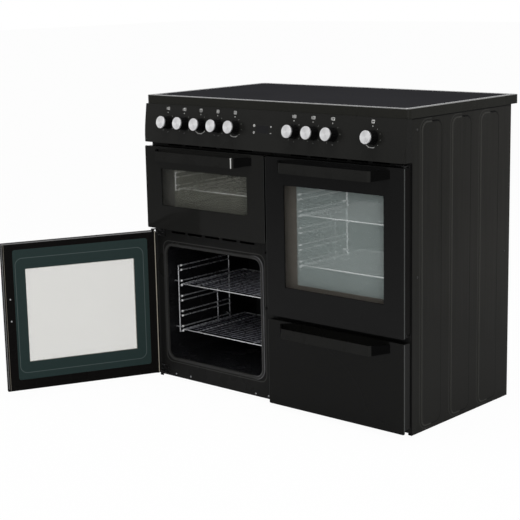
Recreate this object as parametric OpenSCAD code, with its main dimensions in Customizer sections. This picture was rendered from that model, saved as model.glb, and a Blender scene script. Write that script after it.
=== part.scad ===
// Freestanding range cooker: ceramic hob, grill, two ovens and a storage drawer.
// All sizes are in millimetres. The origin is on the floor behind the cooker, midway between
// the two floor screws of the stability bracket. +X is to the right, +Y to the rear, +Z up.
// The lower left oven door stands open at rest; everything else is closed or at zero.

/* [Body] */
// Width of the body across the flat faces of its side panels
body_w = 996; // [900:1:1100]
// Depth of the body behind its front plane
body_d = 495; // [460:1:560]
// Height of the side panels
body_h = 882; // [870:1:910]
// Gap between the floor and the bottom edge of the side panels
floor_gap = 8; // [5:0.5:20]
// Thickness of the side, rear and base sheets
sheet = 1.2; // [0.8:0.1:2]
// Thickness of the front frame
front_sheet = 1.5; // [1:0.1:2.5]
// Width of the folded edges of the side panels
flange = 12; // [8:1:20]
// Width of each embossed rib in a side panel
rib_w = 92; // [60:1:110]
// Distance between the middles of two ribs
rib_pitch = 144; // [120:1:160]
// Distance of the first rib's middle from the front plane
rib_first = 93; // [70:1:110]
// Number of ribs in each side panel
rib_count = 3; // [2:1:3]
// Corner radius of the ribs
rib_corner = 23; // [10:1:28]
// How far the ribs stand out
rib_raise = 1.8; // [0.5:0.1:3]
// Distance from the ribs to the top and bottom edges
rib_margin = 14; // [10:1:40]

/* [Hob] */
// Width of the hob frame
hob_w = 1000; // [900:1:1110]
// How far the hob frame reaches ahead of the front plane
hob_front = 17.5; // [10:0.5:19]
// How far the hob frame reaches behind the body
hob_back = 40; // [20:1:60]
// Height of the hob frame
hob_h = 26; // [20:1:35]
// Corner radius of the hob frame
hob_corner = 14; // [6:1:24]
// Width of the black rim around the glass
hob_rim = 17; // [12:1:24]
// Width of the bright trim around the glass
trim_w = 2.6; // [1.5:0.1:4]
// How far the bright trim stands proud
trim_proud = 0.6; // [0.2:0.1:1.2]
// Thickness of the ceramic glass
hob_glass_t = 4; // [3:0.5:6]
// Depth of the heater tray below the body's top edge
tray_drop = 12; // [6:1:16]
// Radius of the large heating zones
zone_large = 105; // [90:1:110]
// Radius of the small heating zones
zone_small = 74; // [60:1:85]
// Wall of a heater dish
dish_wall = 9; // [5:1:12]

/* [Control panel] */
// Width of the control panel
fascia_w = 998; // [900:1:1100]
// Height of the control panel
fascia_h = 117.5; // [110:0.5:125]
// How far its bottom edge stands ahead of the front plane
fascia_low = 35; // [28:0.5:45]
// How far its top edge stands ahead of the front plane
fascia_high = 19.5; // [18:0.5:25]
// Thickness of the control panel
fascia_t = 2; // [1.5:0.1:3]
// Radius of its vertical corners
fascia_corner = 9; // [4:1:14]
// Height of the knob axes above the panel's bottom edge
knob_rise = 63; // [55:1:70]
// Distance between two knobs of a group
knob_pitch = 70; // [60:1:75]
// Middle of the left group of five knobs
knob_left_x = -260; // [-290:1:-230]
// Middle of the right group of three knobs
knob_right_x = 177; // [165:1:200]
// Place of the single knob on the right
knob_single_x = 386; // [370:1:420]
// Radius of the knob body at the panel
knob_skirt = 21.5; // [18:0.5:23]
// Radius of the knob body under its cap
knob_body = 18; // [15:0.5:19]
// Number of grip flutes around a knob
knob_flutes = 12; // [8:1:16]
// Radius of the bright cap
knob_cap = 18.5; // [15:0.5:19]
// How far a knob stands out of the panel
knob_out = 32; // [24:0.5:38]
// Thickness of the bright cap
cap_t = 5; // [3:0.5:8]
// Radius of the control shafts
shaft_r = 3; // [2.5:0.5:4]
// Size of a control switch body
switch_size = 42; // [34:1:50]
// Depth of a control switch body
switch_d = 30; // [22:1:36]
// Place of the timer across the panel
timer_x = -10; // [-20:1:20]
// Width of the timer display
display_w = 48; // [40:1:60]
// Height of the timer display
display_h = 22; // [16:1:30]

/* [Doors] */
// Height of the two oven doors
oven_door_h = 470; // [450:1:480]
// Height of the grill door and the drawer front
small_door_h = 259; // [250:1:270]
// Gap between an upper and a lower door
door_gap = 13; // [12:0.5:18]
// Gap between the left and the right doors
column_gap = 6; // [4:0.5:10]
// Height of the lowest doors above the floor
door_low = 18; // [16:1:24]
// How far the door glass stands ahead of the front plane
door_front = 33; // [30:0.5:40]
// Gap between the closed doors and the front plane
door_back = 5; // [4.5:0.1:6]
// Distance from a door's outer edge to the side of the body
door_edge = 1; // [0.5:0.1:3]
// Thickness of the outer door glass
door_glass_t = 4; // [3:0.5:5]
// Corner radius of the outer door glass
door_corner = 4; // [2:0.5:8]
// How far the door frame is set in from the sides of the glass
frame_side = 1.5; // [1:0.5:4]
// How far the door frame is set up from the bottom of the glass
frame_up = 10; // [8:0.5:12]
// Thickness of the folded door frame
frame_t = 1.5; // [1:0.1:2]
// Width of the inner door glass
inner_glass_w = 430; // [400:1:440]
// Distance from the inner glass to the bottom of the door
inner_glass_rise = 40; // [36:1:50]
// Distance from the inner glass to the top of the door
inner_glass_top = 19; // [12:1:30]
// How far the inner glass is seated on the door frame
inner_seat = 10; // [6:1:14]
// Thickness of the inner door glass
inner_glass_t = 4; // [3:0.5:5]
// Opening angle of the lower left oven door at rest
rest_open = 116; // [90:1:120]

/* [Handles] */
// Length of a handle along its front face
handle_front_w = 316; // [280:1:340]
// Length of a handle where it meets the door
handle_foot_w = 400; // [360:1:430]
// How far a handle stands out of its door
handle_out = 45; // [35:1:55]
// Height of the handle bar
handle_h = 30; // [22:1:34]
// Thickness of the handle bar
handle_t = 5; // [4:0.5:8]
// Distance from the handle's middle to the top of the door
handle_drop = 23.5; // [20:0.5:30]
// Width of the handle's feet
handle_foot = 12; // [10:1:16]
// How far the bottom edge rises from the handle's bar to its feet
handle_taper = 7; // [0:0.5:10]
// Radius of the handle studs
stud_r = 3; // [2.5:0.5:3.5]

/* [Hinges] */
// Distance from a side hinge axis to the door's outer edge
hinge_inset = 7; // [6.5:0.5:9]
// Distance of the side hinge axes ahead of the front plane
hinge_y = 20; // [19:0.5:22]
// Radius of the side hinge pins
hinge_pin = 4; // [3:0.5:4.5]
// Radial clearance of the hinge pins
hinge_clear = 0.05; // [0.03:0.01:0.09]
// Thickness of the hinge plates
hinge_plate = 3; // [2:0.5:4]
// Length of the hinge plates along the body
hinge_len = 40; // [30:1:50]
// Height of the grill door's axis above the bottom of its glass
drop_rise = 17; // [16:0.5:18]
// Distance of the grill door's axis ahead of the front plane
drop_y = 19; // [18.5:0.5:20]
// Distance of each grill hinge from the middle of the door
drop_x = 220; // [200:1:230]
// Radius of the grill hinge pins
drop_pin = 3; // [2:0.5:3.5]
// Radius of the grill hinge lugs
lug_r = 5; // [4.5:0.5:6]
// Width of the grill hinge lugs
lug_w = 8; // [6:1:10]

/* [Ovens] */
// Inner width of the oven cavities
cav_w = 396; // [370:1:410]
// Inner height of the two oven cavities
oven_cav_h = 362; // [340:1:370]
// Height of the oven floor above the bottom of its door
oven_cav_rise = 61.5; // [55:0.5:70]
// Inner height of the grill cavity
grill_cav_h = 160; // [150:1:165]
// Height of the grill floor above the bottom of its door
grill_cav_rise = 55; // [50:1:60]
// Inner depth of the cavities
cav_d = 380; // [360:1:400]
// Thickness of the enamelled cavity sheet
cav_t = 1.2; // [0.8:0.1:2]
// Corner radius of the cavities
cav_corner = 25; // [15:1:35]
// Width of the raised rim around each oven mouth
rim_w = 11; // [8:0.5:14]
// How far the rim stands ahead of the front plane
rim_proud = 2.5; // [1.5:0.1:3]
// Width of the door seal
seal_w = 6; // [4:0.5:8]
// Thickness of the insulation
wool_t = 18; // [12:1:22]
// Radius of the fan wheel
fan_r = 70; // [55:1:80]
// Width of the fan wheel
fan_w = 20; // [14:1:22]
// Number of fan blades
fan_blades = 8; // [6:1:12]
// Distance of the oven lamp from the side wall
lamp_side = 32; // [26:1:50]
// Distance of the oven lamp from the roof
lamp_drop = 30; // [26:1:50]
// Radius of the fan shaft
fan_shaft = 4; // [3:0.5:5]
// Width and height of the fan cover
cover_size = 270; // [230:1:300]
// Distance from the fan cover to the rear wall of the oven
cover_gap = 34; // [30:1:40]
// Radius of the ring element around the fan
ring_r = 88; // [84:1:100]
// Radius of the sheathed heating rods
rod_r = 3.2; // [2.5:0.1:4]

/* [Racks and shelves] */
// Radius of the wires
wire_r = 2; // [1.5:0.1:2.8]
// Height of the top rung above the bottom of an oven door
oven_rung_top = 355; // [345:1:365]
// Distance between two pairs of rungs in the ovens
oven_rung_pitch = 50; // [45:1:55]
// Height of the top rung above the bottom of the grill door
grill_rung_top = 171; // [165:1:180]
// Distance between two pairs of rungs in the grill
grill_rung_pitch = 41; // [38:1:45]
// Distance between the two wires of a pair
rung_gap = 15; // [14:0.5:18]
// Distance of the front rack uprights behind the front plane
rack_front = 31; // [25:1:40]
// Distance of the rear rack uprights behind the front plane
rack_rear = 265; // [240:1:300]
// Gap between the rack uprights and the oven wall
rack_off = 16; // [8:1:22]
// Distance of a shelf's front wire behind the front plane
shelf_front = 42; // [30:1:45]
// Depth of a shelf
shelf_d = 290; // [270:1:298]
// Number of thin wires across a shelf
shelf_wires = 16; // [12:1:20]
// Distance of a shelf's two stays from its middle
shelf_stay = 118; // [90:1:140]
// Clearance between a sliding shelf and its rungs
slide_clear = 0.4; // [0.3:0.1:0.8]

/* [Drawer] */
// Width of the drawer box
drawer_w = 430; // [400:1:440]
// Height of the drawer box
drawer_h = 150; // [120:1:180]
// Depth of the drawer box
drawer_d = 440; // [400:1:460]
// Height of the drawer box above the bottom of its front
drawer_rise = 45; // [35:1:60]
// Thickness of each runner member
runner_t = 6; // [4:0.5:8]
// Height of the runner members
runner_h = 28; // [20:1:40]

/* [Rear and base] */
// Radius of a foot
foot_r = 20; // [15:1:25]
// Thickness of a foot
foot_t = 6; // [4:0.5:8]
// Radius of a foot's screw
foot_screw = 5; // [4:0.5:6]
// Distance from the feet to the sides, front and rear of the body
foot_inset = 56; // [45:1:80]
// Height of the base tray above the bottom edge of the side panels
base_rise = 8; // [6:1:12]
// Height of the base tray's rear wall
base_wall = 34; // [30:1:60]
// Width of the terminal cover
terminal_w = 130; // [100:1:160]
// Height of the terminal cover
terminal_h = 100; // [80:1:130]
// Depth of the terminal cover
terminal_d = 34; // [30:1:38]
// Place of the terminal cover across the rear
terminal_x = 330; // [250:1:380]
// Height of the terminal cover's bottom edge above the floor
terminal_z = 180; // [120:1:300]
// Radius of the cable entry
gland_bore = 7; // [5:0.5:9]
// Outer radius of the cable gland
gland_r = 12; // [11:0.5:14]
// Length of the cable gland
gland_l = 26; // [20:1:36]
// Width of the stability bracket
bracket_w = 110; // [90:1:140]
// Depth of the bracket's floor flange
bracket_d = 34; // [28:1:37]
// Thickness of the bracket
bracket_t = 3; // [2:0.5:4]
// Height of the bracket's upright leg
bracket_h = 42; // [36:1:46]
// Distance between the two floor screws
bracket_pitch = 70; // [50:1:80]
// Radius of the floor screw holes
bracket_hole = 4; // [3:0.5:5]

/* [Hidden] */
$fn = 48;
eps = 0.5;
touch = 0.01;
half_w = body_w / 2;
top_z = floor_gap + body_h;
// the front plane of the body lies this far ahead of the origin
front_y = -(body_d + bracket_t + bracket_d / 2);

door_w = half_w - door_edge - column_gap / 2;
door_x = column_gap / 2 + door_w / 2;
tall_z = door_low + small_door_h + door_gap;
grill_z = door_low + oven_door_h + door_gap;
fascia_z = top_z - fascia_h;
frame_top = 1;
frame_w = door_w - 2 * frame_side;
frame_back = door_front - door_glass_t - door_back;

base_z = floor_gap + base_rise;
side_in = half_w - sheet;
rib_z = floor_gap + rib_margin;
rib_h = body_h - 2 * rib_margin;

hob_y = -hob_front;
hob_d = hob_front + body_d + hob_back;
hob_z = top_z;
hob_top = hob_z + hob_h;
glass_z = hob_top - hob_glass_t;
hob_skin = 1.5;
tray_side = 22;
tray_z = top_z - tray_drop;
tray_x = half_w - tray_side;
tray_front = 10;
tray_rear = body_d - 16;

tilt = atan((fascia_low - fascia_high) / fascia_h);
knob_xs = [
    for (i = [-2:2]) knob_left_x + i * knob_pitch,
    for (i = [-1:1]) knob_right_x + i * knob_pitch,
    knob_single_x
];
catch_out = 3.5;
fold_side = 20;
fold_d = 30;
fascia_deep = 60;
fascia_lap = 20;
hole_clear = 1;
switch_clear = 0.06;
timer_w = 86;
timer_h = 44;
timer_d = 20;

vent_w = 60;
vent_h = 6;
vent_pitch = 73;
vent_count = 5;
// the middle of the upper slots below the control panel, and of the lower ones below the grill door
vent_drop = 8;
vent_under = 13.7;
// air slots in the rear panel
air_z = grill_z + grill_cav_rise;
air_pitch = 16;
air_rows = 8;
air_w = 32;
air_step = 44;

cav_side = cav_w / 2;
rack_x = cav_side - rack_off;
rung_x = rack_x - 2 * wire_r + 0.5;
shelf_x = rung_x - 1;
shelf_end = shelf_front + shelf_d;
rack_short = 57;
cover_y = cav_d - cover_gap;
fan_y = cav_d - 10 - fan_w;
lamp_l = 28;
motor_r = 34;
motor_l = 46;
motor_y = cav_d + cav_t;
oven_mid = oven_cav_rise + oven_cav_h / 2;

drawer_x = door_x;
drawer_z = door_low + drawer_rise;
drawer_clear = 0.5;
runner_z = drawer_z + drawer_h / 2 - runner_h / 2;
drawer_mouth = drawer_w + 4 * runner_t + 6;

plate_gap = 3;
tab_h = 24;
tab_t = 2.5;
knob_gap = 0.5;
knob_foot = 2.5;
flute_r = 3;
flute_depth = 1.2;
gland_neck = gland_r - 3;

// ---- shared shapes ----

// puts a shape that is drawn from the front plane at its place in the part's own frame
module from_front() {
    translate([0, front_y, 0]) children();
}

// a box between two corners
module span(a, b) {
    translate(a) cube(b - a);
}

// a rounded rectangle, centred across and standing on the line y = 0
module rounded(w, h, r) {
    translate([r - w / 2, 0]) square([w - 2 * r, h]);
    translate([-w / 2, r]) square([w, h - 2 * r]);
    for (x = [r - w / 2, w / 2 - r], y = [r, h - r]) translate([x, y]) circle(r);
}

// an upright plate with rounded corners that runs back from y = 0
module plate(w, h, t, r) {
    translate([0, t, 0]) rotate([90, 0, 0]) linear_extrude(t) rounded(w, h, r);
}

// a rod along Y that starts at the given point
module rod_y(p, r, l) {
    translate(p) rotate([-90, 0, 0]) cylinder(r = r, h = l);
}

// a rod along X that starts at the given point
module rod_x(p, r, l) {
    translate(p) rotate([0, 90, 0]) cylinder(r = r, h = l);
}

// a flat outline with rounded corners, drawn from above, between two heights
module slab(w, d, y0, z0, z1, r) {
    translate([0, y0, z0]) linear_extrude(z1 - z0) rounded(w, d, r);
}

// local Z stands square out of the sloping control panel, at a place across and up it
module on_fascia(x, up) {
    translate([x, -fascia_low, fascia_z])
        rotate([90 - tilt, 0, 0])
            translate([0, up, 0]) children();
}

// ---- body ----

module base_frame() {
    color([0.35, 0.35, 0.36]) from_front() difference() {
        union() {
            // floor, centre wall, rear wall and the four screw bosses
            span([-side_in, front_sheet + sheet, base_z],
                 [side_in, body_d - sheet, base_z + sheet]);
            span([-sheet / 2, front_sheet, base_z],
                 [sheet / 2, body_d - sheet, fascia_z - 8]);
            span([flange - half_w, body_d - sheet, base_z],
                 [half_w - flange, body_d, base_z + base_wall]);
            feet_at() translate([0, 0, base_z]) cylinder(r = foot_screw + 4, h = 12);
        }
        feet_at() translate([0, 0, base_z - eps])
            cylinder(r = foot_screw + touch, h = 12 + 2 * eps);
    }
}

module feet_at() {
    for (x = [foot_inset - half_w, half_w - foot_inset], y = [foot_inset, body_d - foot_inset])
        translate([x, y, 0]) children();
}

module levelling_feet() {
    color([0.12, 0.12, 0.12]) from_front() feet_at() {
        cylinder(r = foot_r, h = foot_t);
        cylinder(r = foot_screw, h = base_z + 10);
    }
}

module stability_bracket() {
    back = body_d;
    color([0.7, 0.7, 0.7]) from_front() difference() {
        union() {
            span([-bracket_w / 2, back, 0], [bracket_w / 2, back + bracket_t, bracket_h]);
            span([-bracket_w / 2, back, 0],
                 [bracket_w / 2, back + bracket_t + bracket_d, bracket_t]);
        }
        for (x = [-1, 1]) translate([x * bracket_pitch / 2, -front_y, -eps])
            cylinder(r = bracket_hole, h = bracket_t + 2 * eps);
    }
}

// a right hand side panel; the left one is its mirror image
module side_panel() {
    color([0.13, 0.13, 0.12]) from_front() difference() {
        union() {
            span([side_in, 0, floor_gap], [half_w, body_d, top_z]);
            span([half_w - flange, front_sheet, floor_gap],
                 [half_w, front_sheet + sheet, top_z]);
            span([half_w - flange, body_d - sheet, floor_gap], [half_w, body_d, top_z]);
            span([half_w - flange, front_sheet, top_z - sheet], [half_w, body_d, top_z]);
            ribs_at() rotate([90, 0, 90]) linear_extrude(rib_raise)
                rounded(rib_w, rib_h, rib_corner);
        }
        // the hollow behind each rib
        translate([-sheet - eps, 0, 0]) ribs_at() rotate([90, 0, 90])
            linear_extrude(rib_raise + eps) translate([0, sheet])
                rounded(rib_w - 2 * sheet, rib_h - 2 * sheet, rib_corner - sheet);
    }
}

module ribs_at() {
    for (i = [0:rib_count - 1]) translate([half_w, rib_first + i * rib_pitch, rib_z]) children();
}

module left_side_panel() {
    mirror([1, 0, 0]) side_panel();
}

module right_side_panel() {
    side_panel();
}

module rear_panel() {
    low = base_z + base_wall + 2;
    color([0.55, 0.55, 0.55]) from_front() difference() {
        span([4 - half_w, body_d, low], [half_w - 4, body_d + sheet, top_z - 4]);
        // air slots behind both columns
        for (x = [-1, 1], z = [0:air_rows - 1], i = [-2:2])
            translate([x * door_x + i * air_step - air_w / 2, body_d - eps, air_z + z * air_pitch])
                cube([air_w, sheet + 2 * eps, vent_h]);
        // the wires pass to the terminal block here
        rod_y([terminal_x, body_d - eps, terminal_z + terminal_h / 2], 25, sheet + 2 * eps);
    }
}

module terminal_cover() {
    y0 = body_d + sheet;
    color([0.5, 0.5, 0.5]) from_front() difference() {
        translate([terminal_x, y0, terminal_z]) plate(terminal_w, terminal_h, terminal_d, 5);
        translate([terminal_x, y0 - eps, terminal_z + sheet])
            plate(terminal_w - 2 * sheet, terminal_h - 2 * sheet, terminal_d - sheet + eps,
                  5 - sheet);
        translate([terminal_x, y0 + terminal_d / 2, terminal_z - eps])
            cylinder(r = gland_neck + touch, h = sheet + 2 * eps);
    }
}

module cable_gland() {
    y0 = body_d + sheet + terminal_d / 2;
    color([0.1, 0.1, 0.1]) from_front() translate([terminal_x, y0, 0]) difference() {
        union() {
            translate([0, 0, terminal_z - gland_l]) cylinder(r = gland_r, h = gland_l);
            translate([0, 0, terminal_z - eps]) cylinder(r = gland_neck, h = sheet + 6);
        }
        translate([0, 0, terminal_z - gland_l - eps])
            cylinder(r = gland_bore, h = gland_l + sheet + 8);
    }
}

// five air slots in a row
module vent_row(x, z) {
    for (i = [0:vent_count - 1])
        translate([x + (i - (vent_count - 1) / 2) * vent_pitch, -eps, z - vent_h / 2])
            plate(vent_w, vent_h, front_sheet + 2 * eps, vent_h / 2 - touch);
}

module front_frame() {
    mouth_w = cav_w + 2 * cav_t + 2 * touch;
    color([0.1, 0.1, 0.1]) from_front() difference() {
        union() {
            span([0.8 - side_in, 0, base_z - front_sheet],
                 [side_in - 0.8, front_sheet, fascia_z]);
            for (z = [fascia_z, base_z])
                span([fold_side - half_w, 0, z - front_sheet], [half_w - fold_side, fold_d, z]);
            // a catch and a switch button on the free side of each side hung door
            for (p = [[-1, door_low], [1, tall_z]], z = [oven_door_h - 23, oven_door_h / 2 + 44])
                rod_y([p[0] * (column_gap / 2 + 30), -catch_out, p[1] + z], 4, catch_out + eps);
        }
        for (p = [[-door_x, door_low + oven_cav_rise, oven_cav_h],
                  [door_x, tall_z + oven_cav_rise, oven_cav_h],
                  [-door_x, grill_z + grill_cav_rise, grill_cav_h]])
            translate([p[0], -eps, p[1] - cav_t - touch])
                plate(mouth_w, p[2] + 2 * cav_t + 2 * touch, front_sheet + 2 * eps,
                      cav_corner + cav_t);
        translate([drawer_x, -eps, drawer_z - 12])
            plate(drawer_mouth, drawer_h + 40, front_sheet + 2 * eps, 8);
        for (x = [-door_x, door_x]) vent_row(x, fascia_z - vent_drop);
        vent_row(-door_x, grill_z - vent_under);
    }
}

// ---- control panel ----

// the solid body of the panel's outline, drawn in from its outside by a wall
module fascia_body(wall) {
    front = wall / cos(tilt);
    intersection() {
        translate([wall - fascia_w / 2, 0, 0]) rotate([90, 0, 90])
            linear_extrude(fascia_w - 2 * wall)
                polygon([[front - fascia_low, fascia_z], [front - fascia_high, top_z],
                         [fascia_deep, top_z], [fascia_deep, fascia_z]]);
        slab(fascia_w - 2 * wall, fascia_low + 2 * fascia_deep, wall - fascia_low, fascia_z - 1, top_z + 1,
             max(fascia_corner - wall, 1));
    }
}

module control_fascia() {
    color([0.13, 0.13, 0.12]) from_front() difference() {
        fascia_body(0);
        translate([0, 0, fascia_t]) fascia_body(fascia_t);
        // open at the rear, with its foot lying on the front frame's folded edge
        span([-fascia_w, -eps, fascia_z + fascia_t], [fascia_w, 2 * fascia_deep, top_z + eps]);
        span([-fascia_w, fascia_lap, fascia_z - eps],
             [fascia_w, 2 * fascia_deep, top_z + eps]);
        for (x = [-1, 1]) span([x * fascia_w / 2 - 25, -eps, fascia_z - eps],
                               [x * fascia_w / 2 + 25, 2 * fascia_deep, top_z]);
        for (x = knob_xs) on_fascia(x, knob_rise / cos(tilt)) translate([0, 0, -fascia_t - 1])
            cylinder(r = shaft_r + hole_clear, h = fascia_t + 2);
        on_fascia(timer_x, knob_rise / cos(tilt) - display_h / 2)
            translate([0, 0, -fascia_t - 1])
                linear_extrude(fascia_t + 2) rounded(display_w, display_h, 2);
    }
}

module timer_display() {
    color([0.2, 0.2, 0.21]) from_front()
        on_fascia(timer_x, knob_rise / cos(tilt) - display_h / 2)
            translate([0, touch, -fascia_t]) linear_extrude(fascia_t)
                rounded(display_w - 2 * touch, display_h - 2 * touch, 2);
}

module timer_module() {
    color([0.1, 0.25, 0.15]) from_front()
        on_fascia(timer_x, knob_rise / cos(tilt) - timer_h / 2)
            translate([0, 0, -fascia_t - timer_d]) linear_extrude(timer_d)
                rounded(timer_w, timer_h, 2);
}

module control_switches() {
    color([0.75, 0.72, 0.62]) from_front() for (x = knob_xs)
        on_fascia(x, knob_rise / cos(tilt)) translate([0, 0, -fascia_t - switch_d]) difference() {
            linear_extrude(switch_d) translate([0, -switch_size / 2])
                rounded(switch_size, switch_size, 4);
            translate([0, 0, 8]) cylinder(r = shaft_r + switch_clear, h = switch_d);
        }
}

// the outline of a knob's grip: a circle with shallow flutes
module fluted(r) {
    difference() {
        circle(r);
        for (i = [0:knob_flutes - 1]) rotate(i * 360 / knob_flutes)
            translate([r + flute_r - flute_depth, 0]) circle(flute_r);
    }
}

// a round control knob: skirt, body, bright cap and shaft
module knob(i) {
    from_front() on_fascia(knob_xs[i], knob_rise / cos(tilt)) {
        color([0.08, 0.08, 0.08]) {
            translate([0, 0, knob_gap]) cylinder(r = knob_skirt, h = knob_foot);
            translate([0, 0, knob_gap]) linear_extrude(knob_out - cap_t - knob_gap)
                fluted(knob_body);
            translate([0, 0, knob_gap]) linear_extrude(2 * knob_foot + 4)
                fluted((knob_body + knob_skirt) / 2);
            translate([0, 0, 10 - fascia_t - switch_d])
                cylinder(r = shaft_r, h = switch_d + fascia_t);
        }
        color([0.88, 0.88, 0.88]) translate([0, 0, knob_out - cap_t]) {
            cylinder(r = knob_cap, h = cap_t - 1);
            cylinder(r1 = knob_cap, r2 = knob_cap - 1, h = cap_t);
        }
    }
}

module hob_knob_1() { knob(0); }
module hob_knob_2() { knob(1); }
module grill_knob() { knob(2); }
module oven_mode_knob() { knob(3); }
module oven_heat_knob() { knob(4); }
module hob_knob_3() { knob(5); }
module hob_knob_4() { knob(6); }
module hob_knob_5() { knob(7); }
module tall_oven_knob() { knob(8); }

// ---- hob ----

// the opening in the hob frame that holds the trim and the glass, drawn in by a wall
module hob_recess(wall, z0, z1) {
    slab(hob_w - 2 * hob_rim - 2 * wall, hob_d - 2 * hob_rim - 2 * wall,
         hob_y + hob_rim + wall, z0, z1, 6);
}

module hob_frame() {
    under = glass_z - hob_skin;
    color([0.13, 0.13, 0.12]) from_front() difference() {
        union() {
            difference() {
                slab(hob_w, hob_d, hob_y, hob_z, hob_top, hob_corner);
                slab(hob_w - 2 * hob_skin, hob_d - 2 * hob_skin, hob_y + hob_skin, hob_z - eps,
                     under, hob_corner - hob_skin);
                hob_recess(0, glass_z, hob_top + eps);
            }
            // the heater tray hangs from the ledge under the glass
            span([-tray_x, tray_front, tray_z], [tray_x, tray_rear, glass_z]);
            // cross walls carry the frame on the body
            for (x = [-1, 1]) span([x * (half_w - 6) - 4, 20, hob_z],
                                   [x * (half_w - 6) + 4, tray_rear, under + eps]);
        }
        span([sheet - tray_x, tray_front + sheet, tray_z + sheet],
             [tray_x - sheet, tray_rear - sheet, glass_z + eps]);
    }
}

module hob_trim() {
    color([0.9, 0.9, 0.9]) from_front() difference() {
        hob_recess(touch, glass_z, hob_top + trim_proud);
        hob_recess(trim_w, glass_z - eps, hob_top + trim_proud + eps);
    }
}

module hob_glass() {
    color([0.17, 0.17, 0.18]) from_front() hob_recess(trim_w + touch, glass_z, hob_top);
}

zones = [
    [-340, 140, zone_small], [-340, 345, zone_large], [0, 245, zone_large],
    [340, 140, zone_large], [340, 350, zone_small]
];

module hob_elements() {
    h = glass_z - tray_z - sheet;
    color([0.8, 0.78, 0.72]) from_front() for (z = zones)
        translate([z[0], z[1], tray_z + sheet]) {
            difference() {
                cylinder(r = z[2], h = h);
                translate([0, 0, 8]) cylinder(r = z[2] - dish_wall, h = h);
            }
            for (r = [z[2] - 22:-16:20]) translate([0, 0, 8 - eps]) difference() {
                cylinder(r = r, h = 6);
                translate([0, 0, -eps]) cylinder(r = r - 4, h = 8);
            }
        }
}

// ---- ovens ----

// an enamelled cavity, open at the front, with a raised rim around its mouth
module cavity(h) {
    difference() {
        union() {
            translate([0, 0, -cav_t])
                plate(cav_w + 2 * cav_t, h + 2 * cav_t, cav_d + cav_t, cav_corner + cav_t);
            translate([0, -rim_proud, -rim_w])
                plate(cav_w + 2 * rim_w, h + 2 * rim_w, rim_proud, cav_corner + rim_w);
        }
        translate([0, -rim_proud - eps, 0])
            plate(cav_w, h, cav_d + rim_proud + eps, cav_corner);
        children();
    }
}

module oven_cavity() {
    color([0.12, 0.12, 0.13]) cavity(oven_cav_h) {
        rod_y([0, cav_d - eps, oven_cav_h / 2], fan_shaft + 2, cav_t + 2 * eps);
        lamp_hole(oven_cav_h);
    }
}

// the hole for the lamp in the rear wall
module lamp_hole(h) {
    rod_y([cav_side - lamp_side, cav_d - eps, h - lamp_drop], 14, cav_t + 2 * eps);
}

module main_oven_cavity() {
    from_front() translate([-door_x, 0, door_low + oven_cav_rise]) oven_cavity();
}

module tall_oven_cavity() {
    from_front() translate([door_x, 0, tall_z + oven_cav_rise]) oven_cavity();
}

module grill_cavity() {
    color([0.12, 0.12, 0.13]) from_front() translate([-door_x, 0, grill_z + grill_cav_rise])
        cavity(grill_cav_h) {
            for (x = [-1, 1]) rod_y([x * 150, cav_d - eps, grill_cav_h - 24], rod_r + 1,
                                    cav_t + 2 * eps);
        }
}

// a blanket round a cavity, open at the front
module blanket(h, fan) {
    r = cav_corner + cav_t;
    y0 = front_sheet + 6;
    color([0.85, 0.82, 0.7]) difference() {
        translate([0, y0, -cav_t - wool_t])
            plate(cav_w + 2 * cav_t + 2 * wool_t, h + 2 * cav_t + 2 * wool_t,
                  cav_d + cav_t + wool_t - y0, r + wool_t);
        translate([0, y0 - eps, -cav_t - touch])
            plate(cav_w + 2 * cav_t + 2 * touch, h + 2 * cav_t + 2 * touch,
                  cav_d + cav_t + touch - y0 + eps, r);
        if (fan) {
            rod_y([0, cav_d, h / 2], motor_r + 1, 60);
            rod_y([cav_side - lamp_side, cav_d, h - lamp_drop], 17, 60);
        }
        if (!fan) for (x = [-1, 1]) rod_y([x * 150, cav_d, h - 24], rod_r + 1, 60);
    }
}

module oven_insulation() {
    from_front() {
        translate([-door_x, 0, door_low + oven_cav_rise]) blanket(oven_cav_h, true);
        translate([door_x, 0, tall_z + oven_cav_rise]) blanket(oven_cav_h, true);
        translate([-door_x, 0, grill_z + grill_cav_rise]) blanket(grill_cav_h, false);
    }
}

// the woven seal on a rim, just clear of the closed door
module seal(h) {
    inner = (rim_w - seal_w) / 2;
    front = door_back - 0.4;
    translate([0, -front, 0]) difference() {
        translate([0, 0, -inner - seal_w])
            plate(cav_w + 2 * (inner + seal_w), h + 2 * (inner + seal_w), front - rim_proud,
                  cav_corner + inner + seal_w);
        translate([0, -eps, -inner])
            plate(cav_w + 2 * inner, h + 2 * inner, front, cav_corner + inner);
    }
}

module door_seals() {
    color([0.2, 0.2, 0.2]) from_front() {
        translate([-door_x, 0, door_low + oven_cav_rise]) seal(oven_cav_h);
        translate([door_x, 0, tall_z + oven_cav_rise]) seal(oven_cav_h);
        translate([-door_x, 0, grill_z + grill_cav_rise]) seal(grill_cav_h);
    }
}

// one ladder rack on the right hand wall of a cavity, from its top rung down
module ladder(top, pitch, pairs) {
    low = top - (pairs - 1) * pitch - rung_gap;
    for (y = [rack_front, rack_rear]) translate([rack_x, y, low - wire_r])
        cylinder(r = wire_r, h = top - low + 2 * wire_r);
    // a short upright stiffens the lower pairs of a tall rack
    if (pairs > 2) translate([rack_x, rack_rear - rack_short, low - wire_r])
        cylinder(r = wire_r, h = top - 2 * pitch - low + 2 * wire_r);
    for (i = [0:pairs - 1], g = [0, rung_gap])
        rod_y([rung_x, rack_front - wire_r, top - i * pitch - g], wire_r,
              rack_rear - rack_front + 2 * wire_r);
    // pegs that hold the rack off the wall
    for (y = [rack_front, rack_rear], z = [low + rung_gap, top - (pairs > 2 ? pitch : 0)])
        rod_x([rack_x, y, z], wire_r, rack_off);
}

// both racks of a cavity
module ladders(top, pitch, pairs) {
    ladder(top, pitch, pairs);
    mirror([1, 0, 0]) ladder(top, pitch, pairs);
}

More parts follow.
